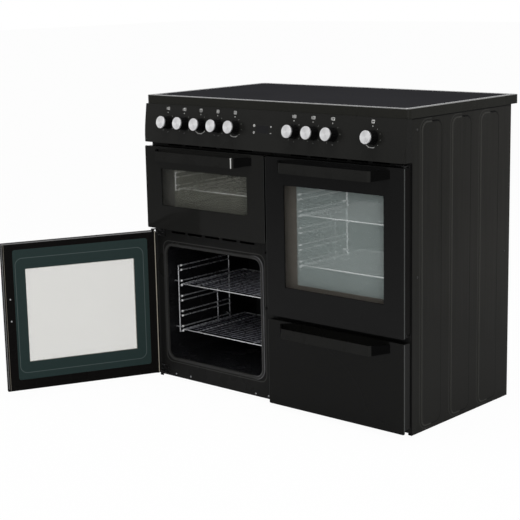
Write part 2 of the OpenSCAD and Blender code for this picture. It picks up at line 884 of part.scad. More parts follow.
module side_racks() {
    color([0.8, 0.8, 0.8]) from_front() {
        translate([-door_x, 0, door_low]) ladders(oven_rung_top, oven_rung_pitch, 5);
        translate([door_x, 0, tall_z]) ladders(oven_rung_top, oven_rung_pitch, 5);
        translate([-door_x, 0, grill_z]) ladders(grill_rung_top, grill_rung_pitch, 2);
    }
}

// a wire shelf: a frame of thick wire, two stays and a grid of thin wires across
module shelf() {
    thin = wire_r * 0.5;
    // the welds: the front and rear wires and the stays sink a little into what they cross
    cross = wire_r - 0.2;
    stay = wire_r - 0.5;
    weld = 0.6;
    step = shelf_d / (shelf_wires + 1);
    for (x = [-shelf_x, shelf_x]) rod_y([x, shelf_front - wire_r, 0], wire_r,
                                        shelf_d + 2 * wire_r);
    for (y = [shelf_front, shelf_end]) rod_x([-shelf_x, y, 0], cross, 2 * shelf_x);
    for (x = [-shelf_stay, shelf_stay]) rod_y([x, shelf_front, 0], stay, shelf_d);
    for (i = [1:shelf_wires])
        rod_x([-shelf_x - 1, shelf_front + i * step, cross + thin - weld], thin,
              2 * shelf_x + 2);
}

// height of a shelf wire that lies on the lower wire of a pair of rungs
function shelf_z(top, pitch, pair) = top - pair * pitch - rung_gap + 2 * wire_r + slide_clear;

module main_oven_shelf_upper() {
    color([0.8, 0.8, 0.8]) from_front()
        translate([-door_x, 0, door_low + shelf_z(oven_rung_top, oven_rung_pitch, 1)]) shelf();
}

module main_oven_shelf_lower() {
    color([0.8, 0.8, 0.8]) from_front()
        translate([-door_x, 0, door_low + shelf_z(oven_rung_top, oven_rung_pitch, 4)]) shelf();
}

module tall_oven_shelves() {
    color([0.8, 0.8, 0.8]) from_front() for (pair = [1, 4])
        translate([door_x, 0, tall_z + shelf_z(oven_rung_top, oven_rung_pitch, pair)]) shelf();
}

module grill_shelf() {
    color([0.8, 0.8, 0.8]) from_front()
        translate([-door_x, 0, grill_z + shelf_z(grill_rung_top, grill_rung_pitch, 1)]) shelf();
}

// a sheathed rod bent to and fro under the grill's roof
module grill_element() {
    passes = 7;
    step = 300 / (passes - 1);
    near = 60;
    far = cav_d - near;
    z = grill_z + grill_cav_rise + grill_cav_h - 24;
    color([0.45, 0.42, 0.4]) from_front() translate([-door_x, 0, z]) {
        for (i = [0:passes - 1]) {
            ends = i == 0 || i == passes - 1;
            rod_y([i * step - 150, near, 0], rod_r, (ends ? cav_d + 14 : far) - near);
        }
        for (i = [0:passes - 2]) translate([(i + 0.5) * step - 150, i % 2 == 0 ? near : far, 0])
            rotate([0, 0, i % 2 == 0 ? 180 : 0])
                rotate_extrude(angle = 180) translate([step / 2, 0]) circle(rod_r);
        // two straps carry it from the roof
        for (y = [120, 250]) {
            span([-158, y - 6, -rod_r], [158, y + 6, 1 - rod_r]);
            for (x = [-152, 152]) span([x - 6, y - 6, -rod_r], [x + 6, y - 5, 24]);
        }
    }
}

module ring_element() {
    rotate([-90, 0, 0]) rotate_extrude() translate([ring_r, 0]) circle(rod_r);
    leg = 20;
    for (x = [-leg, leg])
        rod_y([x, 0, -sqrt(ring_r * ring_r - leg * leg)], rod_r, cav_d - fan_y - 6);
}

module ring_elements() {
    color([0.45, 0.42, 0.4]) from_front() {
        translate([-door_x, fan_y + 6, door_low + oven_mid]) ring_element();
        translate([door_x, fan_y + 6, tall_z + oven_mid]) ring_element();
    }
}

// a pressed cover in front of the fan, with a round grille, on four spacers
module fan_cover() {
    translate([0, cover_y, 0]) difference() {
        translate([0, 0, -cover_size / 2]) plate(cover_size, cover_size, cav_t, 30);
        for (ring = [1:3], i = [0:6 * ring - 1])
            rotate([0, i * 60 / ring, 0]) rod_y([ring * 19, -eps, 0], 6.5, cav_t + 2 * eps);
        rod_y([0, -eps, 0], 6.5, cav_t + 2 * eps);
        for (x = [-1, 1], i = [-3:3]) translate([x * 112 - 3, -eps, i * 28 - 9])
            cube([6, cav_t + 2 * eps, 18]);
    }
    for (x = [-1, 1], z = [-1, 1])
        rod_y([x * (cover_size / 2 - 14), cover_y + cav_t - eps, z * (cover_size / 2 - 14)], 4,
              cover_gap - cav_t + eps);
}

module fan_covers() {
    color([0.12, 0.12, 0.13]) from_front() {
        translate([-door_x, 0, door_low + oven_mid]) fan_cover();
        translate([door_x, 0, tall_z + oven_mid]) fan_cover();
    }
}

// a fan wheel: back plate, blades, hub and shaft
module fan() {
    color([0.6, 0.6, 0.6]) {
        rod_y([0, fan_y + fan_w - 1.5, 0], fan_r, 1.5);
        rod_y([0, fan_y, 0], 10, fan_w);
        for (i = [0:fan_blades - 1]) rotate([0, i * 360 / fan_blades, 0])
            span([9, fan_y, -0.6], [fan_r - 2, fan_y + fan_w - 1, 0.6]);
        rod_y([0, fan_y + fan_w - 1, 0], fan_shaft, cav_d + 30 - fan_y - fan_w);
    }
}

module main_oven_fan() {
    from_front() translate([-door_x, 0, door_low + oven_mid]) fan();
}

module tall_oven_fan() {
    from_front() translate([door_x, 0, tall_z + oven_mid]) fan();
}

module fan_motor() {
    difference() {
        rod_y([0, motor_y, 0], motor_r, motor_l);
        rod_y([0, motor_y - eps, 0], fan_shaft + switch_clear, motor_l - 6);
    }
}

module fan_motors() {
    color([0.5, 0.5, 0.52]) from_front() {
        translate([-door_x, 0, door_low + oven_mid]) fan_motor();
        translate([door_x, 0, tall_z + oven_mid]) fan_motor();
    }
}

module lamp() {
    rod_y([0, cav_d - 9, 0], 18, 9);
    rod_y([0, cav_d - touch, 0], 13, lamp_l);
}

module oven_lamps() {
    x = cav_side - lamp_side;
    z = oven_cav_rise + oven_cav_h - lamp_drop;
    color([0.9, 0.9, 0.85]) from_front() {
        translate([x - door_x, 0, door_low + z]) lamp();
        translate([x + door_x, 0, tall_z + z]) lamp();
    }
}

// ---- doors, drawn closed, centred across, from the bottom of the glass up ----

// where the two studs of a handle pass
module studs_at(h) {
    for (x = [-1, 1]) translate([x * (handle_foot_w - handle_foot) / 2, 0, h - handle_drop])
        children();
}

module door_glass(h) {
    color([0.11, 0.11, 0.11]) difference() {
        translate([0, -door_front, 0]) plate(door_w, h, door_glass_t, door_corner);
        studs_at(h) rod_y([0, -door_front - eps, 0], stud_r + 0.2, door_glass_t + 2 * eps);
    }
}

// a folded frame behind the glass, with a seat for the inner glass and blocks for the studs
module door_frame(h) {
    fh = h - frame_up - frame_top;
    ih = h - inner_glass_rise - inner_glass_top;
    y0 = door_glass_t - door_front;
    seat_w = inner_glass_w - 2 * inner_seat;
    seat_h = ih - 2 * inner_seat;
    rear = -door_back;
    difference() {
        union() {
            difference() {
                translate([0, y0, frame_up]) plate(frame_w, fh, frame_back, 3);
                translate([0, y0 + frame_t, frame_up + frame_t])
                    plate(frame_w - 2 * frame_t, fh - 2 * frame_t,
                          frame_back - 2 * frame_t - inner_glass_t, 2);
                translate([0, y0 - eps, frame_up + 14])
                    plate(frame_w - 28, fh - 28, frame_t + 2 * eps, 4);
            }
            studs_at(h) span([-9, y0, -9], [9, rear - inner_glass_t, 9]);
            children();
        }
        translate([0, rear - inner_glass_t, inner_glass_rise])
            plate(inner_glass_w, ih, inner_glass_t + eps, 8);
        translate([0, rear - inner_glass_t - 20, inner_glass_rise + inner_seat])
            plate(seat_w, seat_h, 30, 6);
        studs_at(h) rod_y([0, y0 - eps, 0], stud_r + touch, 16);
    }
}

module door_inner_glass(h) {
    ih = h - inner_glass_rise - inner_glass_top;
    color([0.15, 0.2, 0.19]) translate([0, -door_back - inner_glass_t, inner_glass_rise + 0.2])
        plate(inner_glass_w - 0.4, ih - 0.4, inner_glass_t, 8);
}

// a bent flat bar with slanting ends and a stud in each foot
module door_handle(h) {
    f = handle_front_w / 2;
    g = handle_foot_w / 2;
    y = -door_front;
    low = h - handle_drop - handle_h / 2;
    color([0.1, 0.1, 0.1]) {
        intersection() {
            translate([0, 0, low]) linear_extrude(handle_h) polygon([
                [-g, y], [-f, y - handle_out], [f, y - handle_out], [g, y],
                [g - handle_foot, y], [g - handle_foot, y - 6],
                [f - handle_t / 2, y - handle_out + handle_t],
                [handle_t / 2 - f, y - handle_out + handle_t],
                [handle_foot - g, y - 6], [handle_foot - g, y]
            ]);
            // seen from the side it narrows towards the door
            translate([-handle_foot_w, 0, 0]) rotate([90, 0, 90])
                linear_extrude(2 * handle_foot_w) polygon([
                    [y - handle_out - 1, low - 1], [y + 1, low + handle_taper],
                    [y + 1, low + handle_h + 1], [y - handle_out - 1, low + handle_h + 1]
                ]);
        }
        studs_at(h) rod_y([0, y - eps, 0], stud_r, 15);
    }
}

// swings the lower left door to where it stands at rest
module main_door_open() {
    ax = hinge_inset + door_edge - half_w;
    from_front() translate([ax, -hinge_y, 0]) rotate([0, 0, -rest_open])
        translate([-ax, hinge_y, 0]) translate([-door_x, 0, door_low]) children();
}

// the bores in a side hung door frame for its two hinge pins; side is -1 left, 1 right
module hinge_bores(h, side) {
    x = side * (door_w / 2 - hinge_inset);
    for (z = [frame_up - eps, h - frame_top - 20])
        translate([x, -hinge_y, z]) cylinder(r = hinge_pin + hinge_clear, h = 20 + eps);
}

// the blocks in the frame that hold those bores
module hinge_blocks(h, side) {
    x = side * (frame_w / 2 - 12);
    for (z = [frame_up, h - frame_top - 24])
        span([x - 12, door_glass_t - door_front, z], [x + 12, -door_back - inner_glass_t, z + 24]);
}

module side_hung_frame(h, side) {
    color([0.1, 0.1, 0.1]) difference() {
        door_frame(h) hinge_blocks(h, side);
        hinge_bores(h, side);
    }
}

module main_oven_door_frame() { main_door_open() side_hung_frame(oven_door_h, -1); }
module main_oven_door_glass() { main_door_open() door_glass(oven_door_h); }
module main_oven_door_inner_glass() { main_door_open() door_inner_glass(oven_door_h); }
module main_oven_door_handle() { main_door_open() door_handle(oven_door_h); }

module at_tall_door() {
    from_front() translate([door_x, 0, tall_z]) children();
}

module tall_oven_door_frame() { at_tall_door() side_hung_frame(oven_door_h, 1); }
module tall_oven_door_glass() { at_tall_door() door_glass(oven_door_h); }
module tall_oven_door_inner_glass() { at_tall_door() door_inner_glass(oven_door_h); }
module tall_oven_door_handle() { at_tall_door() door_handle(oven_door_h); }

module at_grill_door() {
    from_front() translate([-door_x, 0, grill_z]) children();
}

// the grill door's frame has a notch and two bores for each hinge lug
module grill_door_frame() {
    block_h = inner_glass_rise + inner_seat - frame_up;
    at_grill_door() color([0.1, 0.1, 0.1]) difference() {
        door_frame(small_door_h) for (x = [-drop_x, drop_x])
            span([x - 24, door_glass_t - door_front, frame_up],
                 [x + 24, -door_back, frame_up + block_h]);
        for (x = [-drop_x, drop_x]) {
            span([x - lug_w / 2 - 1, -drop_y - lug_r - 1, frame_up - 1],
                 [x + lug_w / 2 + 1, 0, drop_rise + lug_r + 1]);
            rod_x([x - 18, -drop_y, drop_rise], drop_pin + hinge_clear, 36);
        }
    }
}

module grill_door_glass() { at_grill_door() door_glass(small_door_h); }
module grill_door_inner_glass() { at_grill_door() door_inner_glass(small_door_h); }
module grill_door_handle() { at_grill_door() door_handle(small_door_h); }

// an L shaped hinge with a pin; it is drawn for a pin that points down, on the left
module side_hinge() {
    back = hinge_len - 4;
    difference() {
        union() {
            translate([0, -hinge_y, 0]) cylinder(r = 6.5, h = hinge_plate);
            span([-1, 6 - hinge_y, 0], [back, 0, hinge_plate]);
            span([-1, -hinge_y, 0], [6, 0, hinge_plate]);
            span([-1, -tab_t, hinge_plate - tab_h], [back, 0, hinge_plate]);
            translate([0, -hinge_y, -20]) cylinder(r = hinge_pin, h = 20 + eps);
        }
        rod_y([back - 9, -tab_t - eps, hinge_plate - tab_h + 8], 2.2, tab_t + 2 * eps);
    }
}

// the top and the bottom hinge of a side hung door, on the left
module hinge_pair(z, h) {
    ax = hinge_inset + door_edge - half_w;
    translate([ax, 0, z + h + plate_gap]) side_hinge();
    translate([ax, 0, z + frame_up - plate_gap - hinge_plate])
        translate([0, 0, hinge_plate]) mirror([0, 0, 1]) side_hinge();
}

// a lug with a cross pin, for the drop down door
module drop_lug() {
    rod_x([-lug_w / 2, 0, 0], lug_r, lug_w);
    span([-lug_w / 2, 0, -lug_r], [lug_w / 2, drop_y, lug_r]);
    rod_x([-16, 0, 0], drop_pin, 32);
}

module hinge_brackets() {
    color([0.6, 0.6, 0.6]) from_front() {
        hinge_pair(door_low, oven_door_h);
        mirror([1, 0, 0]) hinge_pair(tall_z, oven_door_h);
        for (x = [-drop_x, drop_x])
            translate([x - door_x, -drop_y, grill_z + drop_rise]) drop_lug();
    }
}

// ---- storage drawer ----

module drawer_front() {
    color([0.11, 0.11, 0.11]) from_front() translate([door_x, 0, door_low]) difference() {
        union() {
            translate([0, -door_front, 0])
                plate(door_w, small_door_h, door_glass_t, door_corner);
            translate([0, -door_front, frame_up])
                plate(frame_w, small_door_h - frame_up - frame_top, door_front - door_back, 3);
        }
        translate([0, -door_front + door_glass_t, frame_up + frame_t])
            plate(frame_w - 2 * frame_t, small_door_h - frame_up - frame_top - 2 * frame_t,
                  door_front, 2);
        studs_at(small_door_h) rod_y([0, -door_front - eps, 0], stud_r + touch, 20);
    }
}

module drawer_handle() {
    from_front() translate([door_x, 0, door_low]) door_handle(small_door_h);
}

// the box behind the front, with a lip that the front is screwed to
module drawer_box() {
    w = drawer_w;
    y0 = -door_back;
    color([0.3, 0.3, 0.31]) from_front() translate([drawer_x, 0, drawer_z]) {
        difference() {
            span([-w / 2, y0, 0], [w / 2, y0 + drawer_d, drawer_h]);
            span([sheet - w / 2, y0 + sheet, sheet],
                 [w / 2 - sheet, y0 + drawer_d - sheet, drawer_h + eps]);
        }
        // four lugs reach into the folded front
        for (x = [-1, 1]) span([x * (w / 2 - 20) - 12, door_glass_t - door_front, 8],
                               [x * (w / 2 - 20) + 12, y0 + eps, drawer_h - 20]);
        // the moving runner members
        for (x = [-1, 1]) span([x * (w / 2 + runner_t / 2) - runner_t / 2, 12,
                                (drawer_h - runner_h) / 2],
                               [x * (w / 2 + runner_t / 2) + runner_t / 2, drawer_d - 12,
                                (drawer_h + runner_h) / 2]);
    }
}

// the fixed runner members, with blocks to the side panel and the centre wall
module drawer_runners() {
    inner = drawer_w / 2 + runner_t + drawer_clear;
    outer = inner + runner_t;
    left_wall = sheet / 2;
    right_wall = side_in;
    color([0.7, 0.7, 0.7]) from_front() {
        span([drawer_x + inner, front_sheet + 2, runner_z],
             [drawer_x + outer, drawer_d - 4, runner_z + runner_h]);
        span([drawer_x - outer, front_sheet + 2, runner_z],
             [drawer_x - inner, drawer_d - 4, runner_z + runner_h]);
        for (y = [6, rib_first + 1.5 * rib_pitch - 10]) {
            span([drawer_x + outer - touch, y, runner_z + 6],
                 [right_wall, y + 20, runner_z + runner_h - 6]);
            span([left_wall, y, runner_z + 6],
                 [drawer_x - outer + touch, y + 20, runner_z + runner_h - 6]);
        }
    }
}

base_frame();
levelling_feet();
stability_bracket();
left_side_panel();
right_side_panel();
rear_panel();
terminal_cover();
cable_gland();
front_frame();
control_fascia();
timer_display();
timer_module();
control_switches();
hob_frame();
hob_trim();
hob_glass();
hob_elements();
main_oven_cavity();
tall_oven_cavity();
grill_cavity();
oven_insulation();
door_seals();
side_racks();
main_oven_shelf_upper();
main_oven_shelf_lower();
tall_oven_shelves();
grill_shelf();
grill_element();
ring_elements();
fan_covers();
main_oven_fan();
tall_oven_fan();
fan_motors();
oven_lamps();
drawer_runners();
drawer_front();
drawer_box();
drawer_handle();
grill_door_frame();
grill_door_glass();
grill_door_inner_glass();
grill_door_handle();
main_oven_door_frame();
main_oven_door_glass();
main_oven_door_inner_glass();
main_oven_door_handle();
tall_oven_door_frame();
tall_oven_door_glass();
tall_oven_door_inner_glass();
tall_oven_door_handle();
hinge_brackets();
hob_knob_1();
hob_knob_2();
grill_knob();
oven_mode_knob();
oven_heat_knob();
hob_knob_3();
hob_knob_4();
hob_knob_5();
tall_oven_knob();
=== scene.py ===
"""The looks of a freestanding range cooker with a grill, two ovens and a storage drawer."""

import math

import bmesh
import bpy
from mathutils import Matrix, Vector


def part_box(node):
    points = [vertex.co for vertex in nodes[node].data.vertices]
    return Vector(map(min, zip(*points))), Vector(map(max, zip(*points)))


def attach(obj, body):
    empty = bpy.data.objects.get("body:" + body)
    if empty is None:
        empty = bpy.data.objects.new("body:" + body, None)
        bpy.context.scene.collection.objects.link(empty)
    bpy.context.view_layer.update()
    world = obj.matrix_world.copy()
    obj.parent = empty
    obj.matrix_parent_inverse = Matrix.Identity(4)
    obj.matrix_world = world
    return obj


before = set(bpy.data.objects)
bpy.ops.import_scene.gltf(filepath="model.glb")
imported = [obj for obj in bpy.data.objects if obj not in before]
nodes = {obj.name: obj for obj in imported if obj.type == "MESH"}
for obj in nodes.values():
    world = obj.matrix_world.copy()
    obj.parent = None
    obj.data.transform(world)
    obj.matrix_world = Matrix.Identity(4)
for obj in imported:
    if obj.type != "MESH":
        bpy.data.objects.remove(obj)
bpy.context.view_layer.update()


# ---- Side panels ----
# Steel sheets with three tall embossed ribs each, in black stoved enamel. Their colour carries
# painted light: highlights on the ribs' front edges, shade behind them and in the gaps at the
# sheet's front and top, and a gradient lighter towards the rear and the top. Two screws near the
# front edge and one near the rear hold each sheet.
class Wire:
    """One socket in a material's tree, so that shader maths reads as arithmetic."""

    def __init__(self, tree, socket):
        self.tree = tree
        self.socket = socket

    def add(self, kind, settings=None, inputs=None, out=0):
        """Adds a node of a type with its settings, then the values or links of its sockets."""
        made = self.tree.nodes.new(kind)
        for name, value in (settings or {}).items():
            setattr(made, name, value)
        for name, value in (inputs or {}).items():
            if isinstance(value, Wire):
                self.tree.links.new(value.socket, made.inputs[name])
            else:
                made.inputs[name].default_value = value
        return Wire(self.tree, made.outputs[out])

    def maths(self, operation, *values):
        """A Math node on the values given, or on this alone."""
        values = values or (self,)
        return self.add("ShaderNodeMath", {"operation": operation}, dict(enumerate(values)))

    def vector(self, operation, other, out=0):
        return self.add("ShaderNodeVectorMath", {"operation": operation}, {0: self, 1: other}, out)

    def __add__(self, other):
        return self.maths("ADD", self, other)

    def __sub__(self, other):
        return self.maths("SUBTRACT", self, other)

    def __mul__(self, other):
        return self.maths("MULTIPLY", self, other)

    def __truediv__(self, other):
        return self.maths("DIVIDE", self, other)

    def __rsub__(self, other):
        return self.maths("SUBTRACT", other, self)

    def __gt__(self, other):
        return self.maths("GREATER_THAN", self, other)

    def __lt__(self, other):
        return self.maths("LESS_THAN", self, other)

    __radd__ = __add__
    __rmul__ = __mul__

    def absolute(self):
        return self.maths("ABSOLUTE")

    def greater(self, other):
        return self.maths("MAXIMUM", self, other)

    def rise(self, low, high):
        """0 below low, 1 above high, smooth between."""
        settings = {"interpolation_type": "SMOOTHSTEP"}
        return self.add("ShaderNodeMapRange", settings, {0: self, 1: low, 2: high})

    def tint(self, first, second):
        """A colour from first, where this is 0, to second, where it is 1."""
        return self.add("ShaderNodeMix", {"data_type": "RGBA"}, {0: self, 6: first, 7: second}, 2)

    def axis(self, index):
        return self.add("ShaderNodeSeparateXYZ", {}, {0: self}, index)

    def noise(self, scale, detail=2.0, stretch=(1, 1, 1)):
        """Noise at a scale per metre, in the part's own space."""
        spread = self if stretch == (1, 1, 1) else self.vector("MULTIPLY", stretch)
        inputs = {"Vector": spread, "Scale": scale, "Detail": detail}
        return self.add("ShaderNodeTexNoise", {}, inputs)


def srgb(red, green, blue):
    """A colour as it shows on the screen, out of 255, as the linear colour that a shader takes."""
    shares = [c / 255 for c in (red, green, blue)]
    linear = [((c + 0.055) / 1.055) ** 2.4 if c > 0.0404 else c / 12.92 for c in shares]
    return (*linear, 1.0)


def finish(name, build, **fixed):
    """A material on the Principled shader. build gets its place wire and returns what varies."""
    material = bpy.data.materials.new(name)
    material.use_nodes = True
    tree = material.node_tree
    shader = tree.nodes["Principled BSDF"]
    for socket, value in fixed.items():
        shader.inputs[socket.replace("_", " ")].default_value = value
    place = Wire(tree, tree.nodes.new("ShaderNodeTexCoord").outputs["Object"])
    for socket, value in build(place).items():
        if socket == "Bump":
            height, depth = value
            inputs = {"Height": height, "Distance": depth, "Strength": 1.0}
            bump = place.add("ShaderNodeBump", {}, inputs)
            tree.links.new(bump.socket, shader.inputs["Normal"])
        elif isinstance(value, Wire):
            tree.links.new(value.socket, shader.inputs[socket])
        else:
            shader.inputs[socket].default_value = value
    return material


def dress(material, *names):
    """Gives a material to carried-over nodes."""
    for name in names:
        mesh = nodes[name].data
        mesh.materials.clear()
        mesh.materials.append(material)


def enamel(dark, light):
    """Stoved enamel between two near shades, with a faint orange peel and handling marks."""

    def build(place):
        cloud = place.noise(7.0, 3.0)
        peel = place.noise(420.0, 1.0)
        return {
            "Base Color": cloud.tint(dark, light),
            "Roughness": 0.24 + cloud * 0.08,
            "Bump": (peel, 0.00004),
        }

    return build


front_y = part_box("left_side_panel")[0].y
side_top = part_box("right_side_panel")[1].z
rib_depth = 0.0018
body_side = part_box("right_side_panel")[1].x - rib_depth
# measured back from the front plane; the ribs' ends are half circles of the corner's radius
rib_middle, rib_pitch, rib_corner = 0.093, 0.144, 0.023
rib_height_middle, rib_straight_half = 0.449, 0.404
inner_bend = 0.0085
rear_flange = 0.46
gap_shade_width = 0.0035
panel_bottom_height = 0.770


def pressed_side(place):
    """Painted highlights on each rib's front edge and painted shade behind it, painted shade in the
    gaps at the sheet's front and top, and a painted gradient lighter towards the rear and the top.
    """
    back = place.axis(1) - front_y
    along = (back - rib_middle) / rib_pitch
    turn = along - along.maths("ROUND")
    beside = (turn.absolute() * rib_pitch - rib_corner).greater(0.0)
    above = ((place.axis(2) - rib_height_middle).absolute() - rib_straight_half).greater(0.0)
    edge = (beside * beside + above * above).maths("SQRT") - rib_corner
    line = 1.0 - edge.absolute().rise(0.0005, 0.0034)
    second = 1.0 - (edge - inner_bend).absolute().rise(0.0004, 0.0026)
    sheet_part = back < rear_flange
    # a painted highlight on each rib's front edge, and painted shade just behind it
    light = (line * 0.22 + second * 0.1) * (turn < 0.0) * sheet_part
    # painted shade: the sheet's front strip, below the control panel, and its top strip, under the
    # hob frame, are painted near black for the shade in the gaps there
    front_gap_shade = (back < gap_shade_width) * (place.axis(2) < panel_bottom_height)
    under_hob_shade = place.axis(2) > side_top - gap_shade_width
    painted_shade = (line * (turn > 0.0) * sheet_part).greater(front_gap_shade).greater(under_hob_shade)
    cloud = place.noise(7.0, 3.0)
    streak = place.noise(90.0, 3.0, (1, 1, 0.03))
    # tone is partly a painted light gradient, lighter towards the rear and the top, and partly
    # random cloud and streaks
    tone = back * 0.9 + place.axis(2).rise(0.0, 0.5) * 0.7 + cloud * 0.15 + streak * 0.5 - 0.95
    sheet = tone.tint(srgb(28, 28, 26), srgb(49, 48, 46))
    return {
        "Base Color": painted_shade.tint(light.tint(sheet, srgb(112, 112, 108)), srgb(3, 3, 3)),
        "Roughness": 0.26 + streak * 0.12,
        "Bump": (streak * 0.6 + place.noise(420.0, 1.0) * 0.4, 0.00006),
    }


side_finish = finish("stoved side enamel", pressed_side, Specular_IOR_Level=0.055)
dress(side_finish, "left_side_panel", "right_side_panel")

screw_finish = finish(
    "zinc screw",
    lambda place: {
        "Base Color": place.noise(900.0).tint(srgb(120, 121, 122), srgb(175, 176, 178)),
        "Roughness": 0.3 + place.noise(500.0) * 0.15,
    },
    Metallic=1.0,
)
black_screw_finish = finish(
    "blackened screw",
    lambda place: {
        "Base Color": place.noise(900.0).tint(srgb(24, 24, 24), srgb(60, 60, 60)),
        "Roughness": 0.35 + place.noise(500.0) * 0.2,
    },
    Metallic=0.6,
)


def make_piece(name, mesh, body, material, smooth=True):
    """Makes a finished bmesh into a piece that rides on a body."""
    mesh.normal_update()
    data = bpy.data.meshes.new(name)
    mesh.to_mesh(data)
    mesh.free()
    data.materials.append(material)
    for face in data.polygons:
        face.use_smooth = smooth
    piece = bpy.data.objects.new(name, data)
    bpy.context.scene.collection.objects.link(piece)
    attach(piece, body)


def belt(mesh, low, high):
    """Faces between two rings of as many points."""
    for i in range(len(low)):
        j = (i + 1) % len(low)
        mesh.faces.new((low[i], low[j], high[j], high[i]))


def screw(
    name, centre, outward, radius, body="cooker", material=screw_finish
):
    """A pan-head screw with a cross recess, seated on a face that looks along outward."""
    sides = 24
    head_height = 0.6 * radius
    profile = [(1.0, 0.0), (0.98, 0.25), (0.8, 0.5), (0.42, 0.62)]
    recess_reach, recess_deep, recess_shallow = 0.3, 0.1, 0.36
    turns = [2 * math.pi * i / sides for i in range(sides)]
    mesh = bmesh.new()

    def ring(share, heights):
        return [
            mesh.verts.new((share * radius * math.cos(a), share * radius * math.sin(a), height))
            for a, height in zip(turns, heights)
        ]

    rings = [ring(share, [rise * head_height] * sides) for share, rise in profile]
    # the recess: the innermost ring dips where the cross is
    rings.append(
        ring(
            recess_reach,
            [
                radius * (recess_deep if abs(math.cos(2 * a)) > 0.8 else recess_shallow)
                for a in turns
            ],
        )
    )
    for low, high in zip(rings, rings[1:]):
        belt(mesh, low, high)
    mesh.faces.new(rings[-1])
    turn = Vector((0, 0, 1)).rotation_difference(Vector(outward)).to_matrix().to_4x4()
    mesh.transform(Matrix.Translation(Vector(centre)) @ turn)
    make_piece(name, mesh, body, material)


panel_screws = ((0.025, 0.858), (0.0265, 0.4545), (0.4695, 0.458))
for side, word in ((-1, "left"), (1, "right")):
    for i, (back, height) in enumerate(panel_screws):
        spot = (side * body_side, front_y + back, height)
        screw(
            f"{word}_panel_screw_{i + 1}",
            spot,
            (side, 0, 0),
            0.0032,
            material=black_screw_finish,
        )


# ---- Front frame, base and rear ----
# The front frame is a black enamelled sheet with the oven mouths, the drawer mouth and the air
# slots cut in it. Behind it the base tray and rear panel are plain coated and zinc-coated steel,
# held with screws. The feet are moulded and the stability bracket is bent zinc-coated steel.

# the middle of the left and right columns of doors, and half of the slit between them
column = 0.25
half_slit = 0.0042
mouth_middle, mouth_half_w, mouth_half_h, mouth_corner = 0.2605, 0.190, 0.173, 0.024


def pressed_frame(place):
    """Nearly black enamel, with a painted highlight line where the sheet is pressed round the oven
    mouth, and painted shade in the slit between the columns of doors.
    """
    beside = ((place.axis(0) + column).absolute() - mouth_half_w).greater(0.0)
    above = ((place.axis(2) - mouth_middle).absolute() - mouth_half_h).greater(0.0)
    edge = ((beside * beside + above * above).maths("SQRT") - mouth_corner).absolute()
    # line is a painted highlight along the pressed fold round the mouth
    line = 1.0 - edge.rise(0.0004, 0.0022)
    cloud = place.noise(9.0, 3.0)
    sheet = cloud.tint(srgb(25, 25, 24), srgb(31, 31, 31))
    # painted shade: the frame is near black where it shows through the slit between the doors
    slit_shade = place.axis(0).absolute() < half_slit
    return {
        "Base Color": slit_shade.tint((line * 0.5).tint(sheet, srgb(84, 84, 82)), srgb(2, 2, 2)),
        "Roughness": 0.24 + cloud * 0.08,
        "Bump": (place.noise(420.0, 1.0), 0.00004),
    }


dress(finish("front frame enamel", pressed_frame, Specular_IOR_Level=0.06), "front_frame")

frame_screws = ((-0.425, 0.024), (-0.36, 0.0255), (-0.082, 0.022), (-0.03, 0.0235))
for i, (x, z) in enumerate(frame_screws):
    screw(f"frame_screw_{i + 1}", (x, front_y, z), (0, -1, 0), 0.003)


def spangle(low, high):
    """Zinc-coated sheet, with its crystal flakes."""

    def build(place):
        flake = place.add("ShaderNodeTexVoronoi", {}, {"Vector": place, "Scale": 90.0}, 1)
        shade = flake.add("ShaderNodeRGBToBW", {}, {0: flake})
        return {
            "Base Color": shade.tint(low, high),
            "Roughness": 0.34 + shade * 0.16,
            "Bump": (place.noise(300.0), 0.00003),
        }

    return build


zinc_finish = finish(
    "zinc-coated sheet", spangle(srgb(128, 131, 134), srgb(164, 166, 168)), Metallic=0.85
)
dress(zinc_finish, "rear_panel", "terminal_cover", "stability_bracket")
dress(zinc_finish, "drawer_runners", "fan_motors")


def blackened(place):
    """Phosphated steel, rubbed bright in spots where the hinge leaf works."""
    wear_and_highlight = place.noise(210.0, 2.0).rise(0.6, 0.72)
    return {
        "Base Color": wear_and_highlight.tint(srgb(17, 17, 17), srgb(150, 151, 152)),
        "Metallic": 0.3 + wear_and_highlight * 0.6,
        "Roughness": 0.5 - wear_and_highlight * 0.2,
    }


dress(finish("phosphated bracket", blackened, Specular_IOR_Level=0.2), "hinge_brackets")

base_finish = finish(
    "coated base steel", enamel(srgb(30, 30, 30), srgb(40, 40, 40)), Specular_IOR_Level=0.2
)
dress(base_finish, "base_frame", "drawer_box")

foot_finish = finish(
    "moulded foot",
    lambda place: {
        "Base Color": place.noise(60.0).tint(srgb(24, 24, 24), srgb(36, 36, 36)),
        "Roughness": 0.55 + place.noise(800.0) * 0.15,
        "Bump": (place.noise(1500.0), 0.00008),
    },
)
dress(foot_finish, "levelling_feet", "cable_gland")

